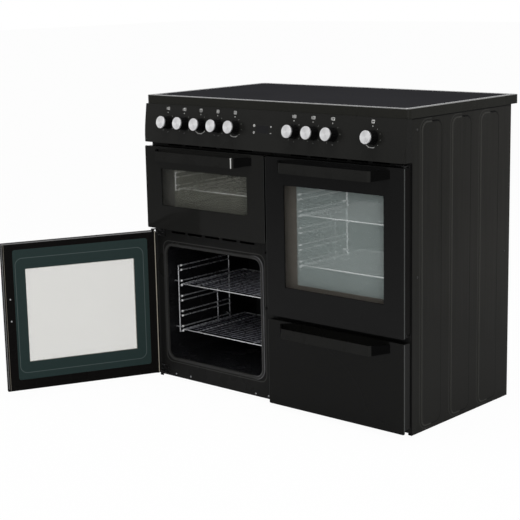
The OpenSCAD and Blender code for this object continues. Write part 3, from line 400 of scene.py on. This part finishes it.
rearward = (0, 1, 0)
edge_inset, side_inset = 0.012, 0.014
rear_low, rear_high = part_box("rear_panel")
rows = (rear_low.z + edge_inset, (rear_low.z + rear_high.z) / 2, rear_high.z - edge_inset)
row_screws = 5
for row, z in enumerate(rows):
    for i in range(row_screws):
        share = i / (row_screws - 1)
        x = rear_low.x + side_inset + (rear_high.x - rear_low.x - 2 * side_inset) * share
        screw(f"rear_screw_{row + 1}_{i + 1}", (x, rear_high.y, z), rearward, 0.0035)
cover_low, cover_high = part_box("terminal_cover")
for i, x in enumerate((cover_low.x + edge_inset, cover_high.x - edge_inset)):
    spot = (x, cover_high.y, cover_high.z - side_inset)
    screw(f"terminal_screw_{i + 1}", spot, rearward, 0.003)
bracket_thickness = 0.003
for i, x in enumerate((-0.035, 0.035)):
    spot = (x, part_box("base_frame")[1].y + bracket_thickness, 0.03)
    screw(f"bracket_screw_{i + 1}", spot, rearward, 0.0035)


# ---- Hob ----
# A sheet of black glass-ceramic lies in a black enamelled frame with rounded corners. A bright
# anodised trim covers the joint between them. Under the glass, in the frame's tray, lie the five
# fibre dishes of the heating zones, which don't show through it while they are cold.
hob_frame_finish = finish(
    "hob frame enamel", enamel(srgb(28, 28, 25), srgb(34, 34, 31)), Specular_IOR_Level=0.08
)
dress(hob_frame_finish, "hob_frame")


def ceramic(place):
    """Dark glass with a fine fleck under its surface."""
    fleck = place.noise(2600.0, 1.0).rise(0.62, 0.7)
    cloud = place.noise(4.0, 2.0)
    return {
        "Base Color": (fleck * 0.3 + cloud * 0.3).tint(srgb(37, 37, 39), srgb(54, 54, 57)),
        "Roughness": 0.09 + cloud * 0.05,
    }


hob_finish = finish("glass ceramic", ceramic, Specular_IOR_Level=0.0)
dress(hob_finish, "hob_glass")


def anodised(place):
    grain = place.noise(260.0, 3.0, (1, 1, 6))
    return {
        "Base Color": grain.tint(srgb(214, 214, 216), srgb(247, 247, 249)),
        "Roughness": 0.16 + grain * 0.1,
    }


trim_finish = finish("bright trim", anodised, Metallic=1.0)
dress(trim_finish, "hob_trim")

fibre_finish = finish(
    "ceramic fibre",
    lambda place: {
        "Base Color": place.noise(300.0, 6.0).tint(srgb(196, 190, 176), srgb(228, 224, 214)),
        "Roughness": 0.85 + place.noise(200.0) * 0.1,
        "Bump": (place.noise(700.0, 6.0), 0.0004),
    },
)
dress(fibre_finish, "hob_elements")


def quilted(place):
    """Mineral wool, coloured near black as painted shade where it shows through the air slots."""
    tuft = place.noise(240.0, 5.0)
    return {
        "Base Color": tuft.tint(srgb(12, 12, 12), srgb(30, 29, 28)),
        "Roughness": 0.85 + tuft * 0.1,
        "Bump": (tuft, 0.0006),
    }


dress(finish("mineral wool", quilted, Specular_IOR_Level=0.1), "oven_insulation")


# ---- Control panel ----
# A folded black enamelled panel that leans back a little. It carries the knobs' pictograms, a ring
# of dial marks round each knob, a silver arc under three of them and the timer's touch symbols,
# all screen printed, so they are thin films on the panel's face. The display is a dark window.
panel_finish = finish(
    "panel enamel", enamel(srgb(24, 24, 22), srgb(29, 29, 28)), Specular_IOR_Level=0.08
)
dress(panel_finish, "control_fascia")

display_finish = finish(
    "display window",
    lambda place: {
        "Base Color": place.noise(30.0).tint(srgb(20, 20, 21), srgb(25, 25, 27)),
        "Roughness": 0.08 + place.noise(12.0) * 0.04,
    },
    Specular_IOR_Level=0.08,
)
dress(display_finish, "timer_display")

board_finish = finish(
    "circuit board",
    lambda place: {
        "Base Color": (
            place.noise(180.0, 4.0).rise(0.5, 0.6).tint(srgb(22, 82, 48), srgb(60, 120, 76))
        ),
        "Roughness": 0.4 + place.noise(90.0) * 0.2,
    },
)
dress(board_finish, "timer_module")
switch_finish = finish(
    "moulded switch",
    lambda place: {
        "Base Color": place.noise(50.0).tint(srgb(186, 178, 150), srgb(205, 198, 172)),
        "Roughness": 0.5 + place.noise(500.0) * 0.15,
        "Bump": (place.noise(1200.0), 0.0001),
    },
)
dress(switch_finish, "control_switches")

panel_low, panel_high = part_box("control_fascia")
panel_set_back, knob_height = 0.0155, 0.063
lean = math.atan2(panel_set_back, panel_high.z - panel_low.z)
panel_up = Vector((0, math.sin(lean), math.cos(lean)))
panel_out = Vector((0, -math.cos(lean), math.sin(lean)))
panel_foot = Vector((0, panel_low.y, panel_low.z))
knob_up = knob_height / math.cos(lean)
knob_places = {
    "hob_knob_1": -0.400,
    "hob_knob_2": -0.330,
    "grill_knob": -0.260,
    "oven_mode_knob": -0.190,
    "oven_heat_knob": -0.120,
    "hob_knob_3": 0.107,
    "hob_knob_4": 0.177,
    "hob_knob_5": 0.247,
    "tall_oven_knob": 0.386,
}


def on_panel(x, up, out=0.0):
    return Vector((x, 0, 0)) + panel_foot + panel_up * up + panel_out * out


print_finish = finish(
    "white screen print",
    lambda place: {
        "Base Color": place.noise(1500.0, 2.0).tint(srgb(196, 196, 194), srgb(236, 236, 234)),
        "Roughness": 0.45 + place.noise(900.0) * 0.1,
    },
)
silver_finish = finish(
    "silver screen print",
    lambda place: {
        "Base Color": place.noise(1500.0, 2.0).tint(srgb(158, 158, 156), srgb(204, 204, 202)),
        "Roughness": 0.35 + place.noise(900.0) * 0.1,
    },
    Metallic=0.3,
)
film = 0.00012


def printed(name, centre, shapes, material):
    """One printed mark on the panel: flat polygons, in metres across and up from a centre."""
    mesh = bmesh.new()
    for outline in shapes:
        lower, upper = (
            [mesh.verts.new(on_panel(centre[0] + u, centre[1] + v, out)) for u, v in outline]
            for out in (0.0, film)
        )
        mesh.faces.new(upper)
        belt(mesh, lower, upper)
    make_piece(name, mesh, "cooker", material, smooth=False)


def disc(u, v, radius, sides=10):
    turns = [2 * math.pi * i / sides for i in range(sides)]
    return [(u + radius * math.cos(a), v + radius * math.sin(a)) for a in turns]


def bar(u, v, width, height):
    return [
        (u - width / 2, v - height / 2),
        (u + width / 2, v - height / 2),
        (u + width / 2, v + height / 2),
        (u - width / 2, v + height / 2),
    ]


def arc(radius, width, first, last, steps=18):
    """A band of a circle between two angles in degrees, as four-sided pieces."""
    turns = [math.radians(first + (last - first) * i / steps) for i in range(steps + 1)]
    inner, outer = radius - width / 2, radius + width / 2
    return [
        [
            (inner * math.cos(a), inner * math.sin(a)),
            (outer * math.cos(a), outer * math.sin(a)),
            (outer * math.cos(b), outer * math.sin(b)),
            (inner * math.cos(b), inner * math.sin(b)),
        ]
        for a, b in zip(turns, turns[1:])
    ]


def box_outline(width, height, line):
    return [
        bar(0, height / 2, width, line),
        bar(0, -height / 2, width, line),
        bar(-width / 2, 0, line, height),
        bar(width / 2, 0, line, height),
    ]


def moved(shapes, right):
    return [[(u + right, v) for u, v in outline] for outline in shapes]


def zone_sign(filled):
    """A small mark, and beside it the hob's zones as dots, the knob's own one larger."""
    spots = [(-0.0022, 0.0019), (0.0022, 0.0019), (-0.0022, -0.0019), (0.0022, -0.0019), (0, 0)]
    dots = [disc(u, v, 0.0014 if i == filled else 0.0008) for i, (u, v) in enumerate(spots)]
    mark = [bar(-0.0058, 0.001, 0.0012, 0.0052), disc(-0.0058, -0.0030, 0.0009)]
    return mark + moved(box_outline(0.0084, 0.0078, 0.0009) + dots, 0.0022)


grill_sign = box_outline(0.0094, 0.0084, 0.001) + [
    bar(u, v, 0.0015, 0.0014)
    for u, v in ((-0.0027, 0.0022), (-0.0009, 0.0012), (0.0009, 0.0022), (0.0027, 0.0012))
]
mode_sign = box_outline(0.0090, 0.0084, 0.001) + arc(0.0019, 0.0011, 0, 300, 8)
mode_sign.append(disc(0, 0, 0.0007))
heat_sign = box_outline(0.0092, 0.0084, 0.001)
heat_sign += [bar(0, 0.0005, 0.0013, 0.0040), disc(0, -0.0016, 0.0014)]
oven_sign = box_outline(0.0092, 0.0086, 0.001)
oven_sign += [bar(0, v, 0.0056, 0.0012) for v in (-0.0022, 0.0022)]
signs = {
    "hob_knob_1": zone_sign(2),
    "hob_knob_2": zone_sign(0),
    "grill_knob": grill_sign,
    "oven_mode_knob": mode_sign,
    "oven_heat_knob": heat_sign,
    "hob_knob_3": zone_sign(4),
    "hob_knob_4": zone_sign(1),
    "hob_knob_5": zone_sign(3),
    "tall_oven_knob": oven_sign,
}
# each arc's radius, and the angles in degrees where it starts and ends
arcs = {
    "grill_knob": (0.0262, 212, 322),
    "oven_heat_knob": (0.0275, 236, 300),
    "tall_oven_knob": (0.0275, 228, 292),
}
sign_rise, off_mark_rise, dial_radius = 0.0435, 0.0312, 0.0285
dial_sweep = 300
for name, x in knob_places.items():
    printed(f"{name}_sign", (x, knob_up + sign_rise), signs[name], print_finish)
    spots = [disc(0, off_mark_rise, 0.0014)]
    count = 7 if name.startswith("hob") else 9
    for i in range(1, count):
        turn = math.radians(90 - dial_sweep * i / count)
        spots.append(disc(dial_radius * math.cos(turn), dial_radius * math.sin(turn), 0.0007, 8))
    printed(f"{name}_dial", (x, knob_up), spots, print_finish)
    if name in arcs:
        radius, first, last = arcs[name]
        printed(f"{name}_arc", (x, knob_up), arc(radius, 0.0014, first, last), silver_finish)

# the timer's touch symbols: a clock and a bell on the left, a plus and a minus on the right
clock = arc(0.0032, 0.0013, 0, 360, 14)
clock += [bar(0, 0.0011, 0.001, 0.0022), bar(0.0008, 0, 0.0018, 0.001)]
bell = arc(0.0027, 0.0012, 0, 180, 10) + [bar(0, -0.0012, 0.0068, 0.0012), disc(0, -0.003, 0.001)]
plus = [bar(0, 0, 0.0048, 0.0013), bar(0, 0, 0.0013, 0.0048)]
minus = [bar(0, 0, 0.0048, 0.0013)]
for name, x, up, sign in (
    ("clock", -0.0425, 0.0732, clock),
    ("bell", -0.0425, 0.0536, bell),
    ("plus", 0.0222, 0.0726, plus),
    ("minus", 0.0222, 0.0540, minus),
):
    printed(f"touch_{name}", (x, up), sign, print_finish)


# ---- Knobs ----
# Each knob is a fluted black moulding with a bright disc let into its face. The disc is turned
# aluminium, so its fine marks run round its centre. The node holds both, so the finish tells them
# apart by the distance from the panel, along the knob's own axis.
disc_height = 0.02695


def knob_finish(name, x):
    centre = on_panel(x, knob_up)

    def build(place):
        shift = place.vector("SUBTRACT", centre)
        along = shift.vector("DOT_PRODUCT", panel_out, 1)
        rise = shift.vector("DOT_PRODUCT", panel_up, 1)
        across = shift.axis(0)
        face = along > disc_height
        rings = ((across * across + rise * rise).maths("SQRT") * 9000.0).maths("SINE")
        turn = across.maths("ARCTAN2", rise, across)
        # painted sheen: the disc is lighter and darker in two broad sweeps round its centre
        painted_sheen = (turn * 2.0 + 0.6).maths("SINE") * 0.5 + 0.5
        shade = painted_sheen * 0.6 + place.noise(900.0) * 0.3
        bright = shade.tint(srgb(200, 200, 201), srgb(228, 228, 229))
        body = place.noise(500.0).tint(srgb(5, 5, 5), srgb(11, 11, 11))
        return {
            "Base Color": face.tint(body, bright),
            "Metallic": face * 0.9,
            "Roughness": 0.42 - face * 0.12,
            "Bump": (face * rings, 0.00003),
        }

    return finish(name, build, Specular_IOR_Level=0.12)


for name, x in knob_places.items():
    dress(knob_finish(f"{name} moulding and disc", x), name)


# ---- Oven cavities ----
# Three deep-drawn steel boxes in black vitreous enamel with a fine white fleck, each with a raised
# rolled rim round its mouth. Their seals are woven glass fibre. The wall panels carry long pressed
# swages, and the fan's cover and the wheel behind it close the rear of each oven.
def vitreous(place):
    fleck = place.noise(1900.0, 1.0).rise(0.66, 0.72)
    cloud = place.noise(12.0, 3.0)
    swage = (place.axis(2) * 210.0).maths("SINE") * 0.5 + 0.5
    wall = (fleck * 0.35 + cloud * 0.12).tint(srgb(7, 7, 8), srgb(62, 63, 66))
    # painted highlight: the rolled rim is lighter than the walls, and lighter still on the right
    # side of the main and grill mouths and all round the tall oven's
    painted_right_rim_highlight = (place.axis(0) + column).rise(0.150, 0.206)
    rim = painted_right_rim_highlight.tint(cloud.tint(srgb(36, 36, 35), srgb(52, 52, 50)), srgb(116, 116, 118))
    return {
        "Base Color": (place.axis(1) < front_y + 0.0006).tint(wall, rim),
        "Roughness": 0.2 + cloud * 0.12,
        "Bump": (swage.rise(0.35, 0.65) * 0.6 + place.noise(500.0) * 0.05, 0.0005),
    }


cavity_finish = finish("vitreous enamel", vitreous, Specular_IOR_Level=0.1)
dress(cavity_finish, "main_oven_cavity", "tall_oven_cavity", "grill_cavity")


def plain_vitreous(place):
    fleck = place.noise(1900.0, 1.0).rise(0.66, 0.72)
    cloud = place.noise(12.0, 3.0)
    return {
        "Base Color": (fleck * 0.4 + cloud * 0.25).tint(srgb(14, 14, 15), srgb(70, 71, 74)),
        "Roughness": 0.2 + cloud * 0.1,
    }


dress(finish("fan cover enamel", plain_vitreous, Specular_IOR_Level=0.15), "fan_covers")


def woven(place):
    strands = place.add(
        "ShaderNodeTexWave", {"bands_direction": "DIAGONAL"}, {"Vector": place, "Scale": 260.0}, 1
    )
    return {
        "Base Color": strands.tint(srgb(14, 14, 14), srgb(36, 36, 35)),
        "Roughness": 0.7 + strands * 0.15,
        "Bump": (strands, 0.0003),
    }


dress(finish("woven seal", woven), "door_seals")


# ---- Racks, shelves and heating rods ----
# The side racks and shelves are chromed steel wire, welded where they cross. The grill element and
# the ring elements are sheathed rods, which have darkened with heat. The fan wheels are bare steel.
def chromed(place):
    """Chromed wire. Behind the two shut doors it glows: painted light on the wires seen through the
    glass.
    """
    smear = place.noise(60.0, 3.0)
    back = place.axis(1) - front_y
    across = place.axis(0)
    front_wires = back < 0.047
    rear_upright = ((back - 0.265).absolute() < 0.003) * (across < 0.075) * 0.4
    front_glow = front_wires * (across.rise(0.10, 0.22) * 0.5 + 0.2)
    tall_painted_glow = (across > 0.0) * (front_glow.greater(rear_upright) + 0.14)
    grill_space = (place.axis(2) > 0.58) * (across < 0.0)
    grill_painted_glow = grill_space * (front_wires * (across.rise(-0.37, -0.24) * 0.3 + 0.14) + 0.02)
    near_upright = (across < -0.42) * (back < 0.0335)
    # lit is the painted glow, strongest on the front wires and on the tall oven's rear upright
    lit = tall_painted_glow + grill_painted_glow + grill_painted_glow * near_upright * 2.0
    return {
        "Base Color": smear.tint(srgb(172, 173, 176), srgb(206, 207, 210)),
        "Roughness": 0.22 + smear * 0.12,
        "Emission Color": lit.tint((0, 0, 0, 1), (1, 1, 1, 1)),
    }


wire_finish = finish("chromed wire", chromed, Metallic=0.75, Emission_Strength=1.0)
dress(wire_finish, "side_racks", "tall_oven_shelves", "grill_shelf")


def shelf_finish(name):
    """Chromed wire whose thin cross wires, which lie on top of the frame, are coloured darker."""
    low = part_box(name)[0].z

    def build(place):
        smear = place.noise(60.0, 3.0)
        thin = (place.axis(2) > low + 0.0037) * (place.axis(1) > front_y + 0.0455)
        frame_wire = smear.tint(srgb(200, 201, 203), srgb(232, 233, 235))
        cross_wire = smear.tint(srgb(98, 99, 109), srgb(134, 135, 145))
        return {"Base Color": thin.tint(frame_wire, cross_wire), "Roughness": 0.22 + smear * 0.12}

    return finish(f"{name} wire", build, Metallic=0.7)


for name in ("main_oven_shelf_upper", "main_oven_shelf_lower"):
    dress(shelf_finish(name), name)

weld_finish = finish(
    "bright weld",
    lambda place: {
        "Base Color": place.noise(700.0).tint(srgb(222, 223, 225), srgb(248, 248, 249)),
        "Roughness": 0.3 + place.noise(900.0) * 0.15,
        # the welds glow, strongly in the tall oven and faintly elsewhere: painted light on them,
        # not a lamp
        "Emission Color": (place.axis(0) > 0.0).tint((0.05, 0.05, 0.05, 1), (0.4, 0.4, 0.4, 1)),
    },
    Metallic=0.2,
    Emission_Strength=1.0,
)

# the welds swell the rungs just behind each rack's front upright; for each oven, the middle of its
# two racks, its lowest rung, the step from pair to pair of rungs, and how many pairs
racks = {
    "main": (-column, 0.158, 0.05, 5),
    "tall": (column, 0.430, 0.05, 5),
    "grill": (-column, 0.616, 0.041, 2),
}
rack_half, rung_gap, weld_back = 0.1785, 0.015, 0.040


def weld_bead(mesh, x, y, z):
    """A lump of weld metal, pulled out along the rung."""
    rings, sides = 5, 8
    loops = []
    for i in range(rings):
        share = -1 + 2 * (i + 0.5) / rings
        radius = 0.0023 + 0.0011 * math.sqrt(1 - share * share)
        loops.append([
            mesh.verts.new((
                x + radius * math.cos(2 * math.pi * j / sides),
                y + 0.0038 * share,
                z + radius * math.sin(2 * math.pi * j / sides),
            ))
            for j in range(sides)
        ])
    for near, far in zip(loops, loops[1:]):
        for j in range(sides):
            k = (j + 1) % sides
            mesh.faces.new((near[j], far[j], far[k], near[k]))
    mesh.faces.new(loops[0])
    mesh.faces.new(list(reversed(loops[-1])))


for word, (middle, low, pitch, pairs) in racks.items():
    mesh = bmesh.new()
    for i in range(pairs):
        for side in (-1, 1):
            for gap in (0, rung_gap):
                height = low + i * pitch + gap
                weld_bead(mesh, middle + side * rack_half, front_y + weld_back, height)
    make_piece(f"{word}_rack_welds", mesh, "cooker", weld_finish)


def heated(place):
    tone = place.noise(40.0, 4.0)
    return {
        "Base Color": tone.tint(srgb(82, 74, 68), srgb(126, 122, 118)),
        "Roughness": 0.42 + tone * 0.2,
        "Bump": (place.noise(900.0), 0.00004),
    }


dress(finish("heated sheath", heated, Metallic=0.8), "grill_element", "ring_elements")


def rolled_steel(place):
    grain = place.noise(220.0, 4.0, (1, 8, 1))
    return {
        "Base Color": grain.tint(srgb(140, 141, 143), srgb(182, 183, 185)),
        "Roughness": 0.28 + grain * 0.15,
    }


dress(finish("rolled fan steel", rolled_steel, Metallic=1.0), "main_oven_fan", "tall_oven_fan")

dress(
    finish(
        "lamp lens",
        lambda place: {
            "Base Color": place.noise(200.0).tint(srgb(226, 224, 214), srgb(244, 243, 236)),
            "Roughness": 0.12 + place.noise(300.0) * 0.1,
        },
        Coat_Weight=0.6,
    ),
    "oven_lamps",
)


# ---- Doors ----
# Each door has a black-backed outer glass with a clear window, a folded enamelled frame, an inner
# pane with a printed border, dark green on the open door, and a bar handle bent from flat steel.
# The finishes are laid out as on a shut door and turned with the door that stands open.
hinge_side = Vector((-0.490, front_y - 0.020, 0))
open_turn = math.radians(116)


def door_place(place, swung):
    """The place wire of a door as if it were shut."""
    if not swung:
        return place
    turn = Matrix.Rotation(open_turn, 3, "Z")
    back = hinge_side - turn @ hinge_side
    inputs = {"Vector": place, "Location": back, "Rotation": (0, 0, open_turn)}
    return place.add("ShaderNodeMapping", {"vector_type": "POINT"}, inputs)


def window(spot, left, right, low, high, soft=0.0006):
    """1 inside an upright window, 0 outside it."""
    beside = (spot.axis(0) - (left + right) / 2).absolute()
    above = (spot.axis(2) - (low + high) / 2).absolute()
    inside_x = 1.0 - beside.rise((right - left) / 2 - soft, (right - left) / 2 + soft)
    inside_z = 1.0 - above.rise((high - low) / 2 - soft, (high - low) / 2 + soft)
    return inside_x * inside_z


def rounded_line(spot, middle, half, height, corner, width):
    """1 on a thin rounded outline about a middle point, 0 elsewhere."""
    beside = ((spot.axis(0) - middle[0]).absolute() - (half - corner)).greater(0.0)
    above = ((spot.axis(2) - middle[1]).absolute() - (height - corner)).greater(0.0)
    edge = ((beside * beside + above * above).maths("SQRT") - corner).absolute()
    return 1.0 - edge.rise(width * 0.3, width)


window_half = 0.1785


def outer_glass(name, centre, low, high, swung, clear, backing, gloss):
    """Black-backed glass, clear at its window, with a painted highlight along each side edge. The
    side face that looks into the slit towards the next door is painted black as painted shade.
    """

    def build(place):
        spot = door_place(place, swung)
        cloud = place.noise(3.0, 2.0)
        if low is None:
            seen = cloud * 0.0
        else:
            seen = window(spot, centre - window_half, centre + window_half, low, high)
        # painted highlight: a thin light band along the glass's side edges
        painted_edge_highlight = (spot.axis(0) - centre).absolute().rise(0.2462, 0.2467)
        printed_back = cloud.tint(srgb(*backing), srgb(*(c + 4 for c in backing)))
        colour = (painted_edge_highlight * 0.8).tint(printed_back, srgb(74, 76, 75))
        if not swung:
            # painted shade: the glass's side face in the slit beside the tall door is painted black
            normal = place.add("ShaderNodeNewGeometry", {}, {}, 1)
            painted_gap_shade = (normal.axis(0) > 0.8) * (place.axis(0) < 0.0)
            colour = painted_gap_shade.tint(colour, srgb(2, 2, 2))
        return {
            "Base Color": colour,
            "Roughness": 0.05 + cloud * 0.03,
            "Alpha": 1.0 - seen * clear,
        }

    return finish(name, build, Specular_IOR_Level=gloss)


# The backing's shade differs from door to door: painted light and shade on one black print,
# lightest on the grill door and darkest on the drawer front.
dress(
    outer_glass("grill door glass", -column, 0.577, 0.692, False, 0.8, (27, 27, 26), 0.065),
    "grill_door_glass",
)
dress(
    outer_glass("tall oven door glass", column, 0.380, 0.6805, False, 0.88, (16, 16, 16), 0.095),
    "tall_oven_door_glass",
)
dress(
    outer_glass("main oven door glass", -column, 0.107, 0.4075, True, 0.9, (16, 16, 16), 0.06),
    "main_oven_door_glass",
)
dress(
    outer_glass("drawer front glass", column, None, None, False, 0.0, (10, 10, 9), 0.1),
    "drawer_front",
)


def inner_pane(name, clear_part, swung, painted_reflection, tone, border, outline=None):
    """Clear glass whose window carries a painted reflection, a pale veil of its tone, and a printed
    border, with a line in it if asked.
    """

    def build(place):
        spot = door_place(place, swung)
        seen = window(spot, *clear_part, 0.0012)
        grain = place.noise(1400.0, 2.0)
        rim = grain.tint(srgb(*(c - 4 for c in border)), srgb(*(c + 4 for c in border)))
        if outline:
            rim = (rounded_line(spot, *outline, 0.0016) * 0.25).tint(rim, srgb(118, 130, 128))
        return {
            # the window's tone is the colour of the painted reflection
            "Base Color": seen.tint(rim, tone),
            "Roughness": 0.12 + place.noise(5.0) * 0.05,
            "Alpha": 1.0 - seen * (1.0 - painted_reflection),
        }

    return finish(name, build, Specular_IOR_Level=0.1)


dress(
    inner_pane(
        "main oven inner pane",
        (-0.419, -0.073, 0.114, 0.407),
        True,
        0.24,
        srgb(206, 204, 194),
        (31, 46, 45),
        ((-0.246, 0.2605), 0.204, 0.181, 0.022),
    ),
    "main_oven_door_inner_glass",
)
dress(
    inner_pane(
        "tall oven inner pane",
        (0.1005, 0.4400, 0.3876, 0.6900),
        False,
        0.4,
        srgb(190, 204, 201),
        (102, 98, 91),
    ),
    "tall_oven_door_inner_glass",
)
dress(
    inner_pane(
        "grill inner pane",
        (-0.398, -0.060, 0.570, 0.700),
        False,
        0.3,
        srgb(180, 182, 168),
        (104, 104, 99),
    ),
    "grill_door_inner_glass",
)


def folded_frame(swung):
    """Nearly black enamel, with a painted highlight line on the fold beside the open door's hinges
    and a fainter painted highlight on the fold at the right edge of the left-hand doors.
    """

    def build(place):
        spot = door_place(place, swung)
        cloud = place.noise(7.0, 3.0)
        sheet = cloud.tint(srgb(5, 4, 4), srgb(10, 9, 8))
        # painted highlight: a bright line on the fold beside the open door's hinges, and a fainter
        # one on the fold at the door's right edge
        wear_and_highlight = 1.0 - (spot.axis(0) + 0.4905).absolute().rise(0.0006, 0.0014)
        wear_and_highlight = wear_and_highlight * (1.0 if swung else 0.0)
        painted_fold_highlight = 1.0 - (spot.axis(0) + 0.0085).absolute().rise(0.0004, 0.0012)
        return {
            "Base Color": (wear_and_highlight * 0.9).greater(painted_fold_highlight * 0.3).tint(sheet, srgb(176, 170, 156)),
            "Roughness": 0.24 + cloud * 0.08,
            "Bump": (place.noise(420.0, 1.0), 0.00004),
        }

    return build


frame_gloss, handle_gloss = 0.045, 0.03
frame_finish = finish("door frame enamel", folded_frame(False), Specular_IOR_Level=frame_gloss)
dress(frame_finish, "grill_door_frame", "tall_oven_door_frame")
open_frame_finish = finish(
    "open door frame enamel", folded_frame(True), Specular_IOR_Level=frame_gloss
)
dress(open_frame_finish, "main_oven_door_frame")

# a handle's feet reach this much farther out than its bar
foot_overhang = 0.042
grill_bar_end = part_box("grill_door_handle")[1].x - foot_overhang


def handle_coat(swung):
    """The bar's face in its coat, with its top and feet painted near black as painted shade, and a
    painted glint on the front corner at the grill handle's right end.
    """

    def build(place):
        spot = door_place(place, swung)
        tone = place.noise(20.0, 2.0)
        geometry = place.add("ShaderNodeNewGeometry", {}, {}, 1)
        # painted shade: the top and the feet, all but the bar's face, are painted near black
        face = (spot.axis(1) < front_y - 0.0715) * (geometry.axis(2) < 0.6)
        coat = tone.tint(srgb(28, 28, 27), srgb(34, 34, 33))
        # a painted glint on the front corner at the grill handle's right end
        corner = (spot.axis(0) - grill_bar_end).absolute() < 0.0014
        glint = corner * (spot.axis(1) < front_y - 0.069) * (spot.axis(2) > 0.6)
        return {
            "Base Color": glint.tint(face.tint(srgb(3, 3, 3), coat), srgb(200, 200, 197)),
            "Roughness": 0.24 + tone * 0.08,
            "Bump": (place.noise(600.0), 0.00003),
        }

    return build


handle_finish = finish("handle coat", handle_coat(False), Specular_IOR_Level=handle_gloss)
dress(handle_finish, "grill_door_handle", "tall_oven_door_handle", "drawer_handle")
open_handle_finish = finish(
    "open door handle coat", handle_coat(True), Specular_IOR_Level=handle_gloss
)
dress(open_handle_finish, "main_oven_door_handle")

# the latch screws in the rear face of each side-hung door, by its middle, its side and its foot
latch_side, latch_depth, latch_ups = 0.228, 0.005, (0.298, 0.229)
for word, middle, sign, base in (("main", -column, -1, 0.018), ("tall", column, 1, 0.290)):
    for i, up in enumerate(latch_ups):
        spot = Vector((middle - sign * latch_side, front_y - latch_depth, base + up))
        outward = Vector((0, 1, 0))
        if word == "main":
            turn = Matrix.Rotation(-open_turn, 3, "Z")
            spot = turn @ (spot - hinge_side) + hinge_side
            outward = turn @ outward
        screw(f"{word}_latch_screw_{i + 1}", spot, outward, 0.0027, f"{word}_oven_door")


# ---- Studio ----
# A pale floor under soft light from above and both sides, and a white surround that the camera, the
# metal and the glass all see. The lens and the place of the camera are those of the picture that
# the cooker is matched to.
def studio_floor():
    mesh = bmesh.new()
    bmesh.ops.create_grid(mesh, x_segments=1, y_segments=1, size=30.0)
    data = bpy.data.meshes.new("studio_floor")
    mesh.to_mesh(data)
    mesh.free()
    floor = bpy.data.objects.new("studio_floor", data)
    bpy.context.scene.collection.objects.link(floor)
    material = bpy.data.materials.new("pale floor")
    material.use_nodes = True
    tree = material.node_tree
    shader = tree.nodes["Principled BSDF"]
    shader.inputs["Base Color"].default_value = srgb(232, 232, 232)
    shader.inputs["Roughness"].default_value = 0.9
    shader.inputs["Specular IOR Level"].default_value = 0.0
    seen = Wire(tree, tree.nodes.new("ShaderNodeLightPath").outputs["Is Camera Ray"])
    glow = seen.add("ShaderNodeEmission", {}, {"Color": (1, 1, 1, 1), "Strength": 1.0})
    lit = Wire(tree, shader.outputs[0])
    mix = seen.add("ShaderNodeMixShader", {}, {0: seen * 0.97, 1: lit, 2: glow})
    tree.links.new(mix.socket, tree.nodes["Material Output"].inputs["Surface"])
    data.materials.append(material)


studio_floor()

world = bpy.data.worlds.new("white studio")
bpy.context.scene.world = world
world.use_nodes = True
sky = world.node_tree
light_path = sky.nodes.new("ShaderNodeLightPath")
camera_ray = Wire(sky, light_path.outputs["Is Camera Ray"])
glossy_ray = Wire(sky, light_path.outputs["Is Glossy Ray"])
through_ray = Wire(sky, light_path.outputs["Is Transmission Ray"])
shown = camera_ray.greater(glossy_ray).greater(through_ray)
backdrop = sky.nodes["Background"]
backdrop.inputs["Color"].default_value = (1, 1, 1, 1)
sky.links.new((shown * 0.55 + 0.45).socket, backdrop.inputs["Strength"])


def soft_light(name, place, target, width, height, power):
    lamp = bpy.data.lights.new(name, "AREA")
    lamp.shape = "RECTANGLE"
    lamp.size = width
    lamp.size_y = height
    lamp.energy = power
    holder = bpy.data.objects.new(name, lamp)
    holder.location = place
    holder.rotation_euler = (Vector(target) - Vector(place)).to_track_quat("-Z", "Y").to_euler()
    bpy.context.scene.collection.objects.link(holder)


soft_light("top_softbox", (0.3, -1.0, 3.2), (0, -0.2, 0.8), 2.4, 2.0, 60)
soft_light("right_softbox", (3.0, -2.2, 1.7), (0.4, -0.2, 0.5), 1.6, 2.0, 40)
soft_light("left_softbox", (-3.2, -0.8, 1.5), (-0.3, -0.5, 0.4), 1.4, 2.0, 18)

# the camera, solved from the picture
yaw, pitch, roll = -0.7321, -0.2001, -0.0209
camera_place = Vector((2.6321, -3.5036, 1.2564))
flat = math.cos(pitch)
toward = Vector((math.sin(yaw) * flat, math.cos(yaw) * flat, math.sin(pitch)))
level = toward.cross(Vector((0, 0, 1))).normalized()
above = level.cross(toward)
right = level * math.cos(roll) + above * math.sin(roll)
over = above * math.cos(roll) - level * math.sin(roll)
lens = bpy.data.cameras.new("camera")
lens.lens = 95.28
lens.sensor_width = 36
camera = bpy.data.objects.new("camera", lens)
axes = Matrix((right, over, -toward)).transposed()
camera.matrix_world = Matrix.Translation(camera_place) @ axes.to_4x4()
bpy.context.scene.collection.objects.link(camera)
bpy.context.scene.camera = camera
bpy.context.scene.view_settings.view_transform = "Standard"
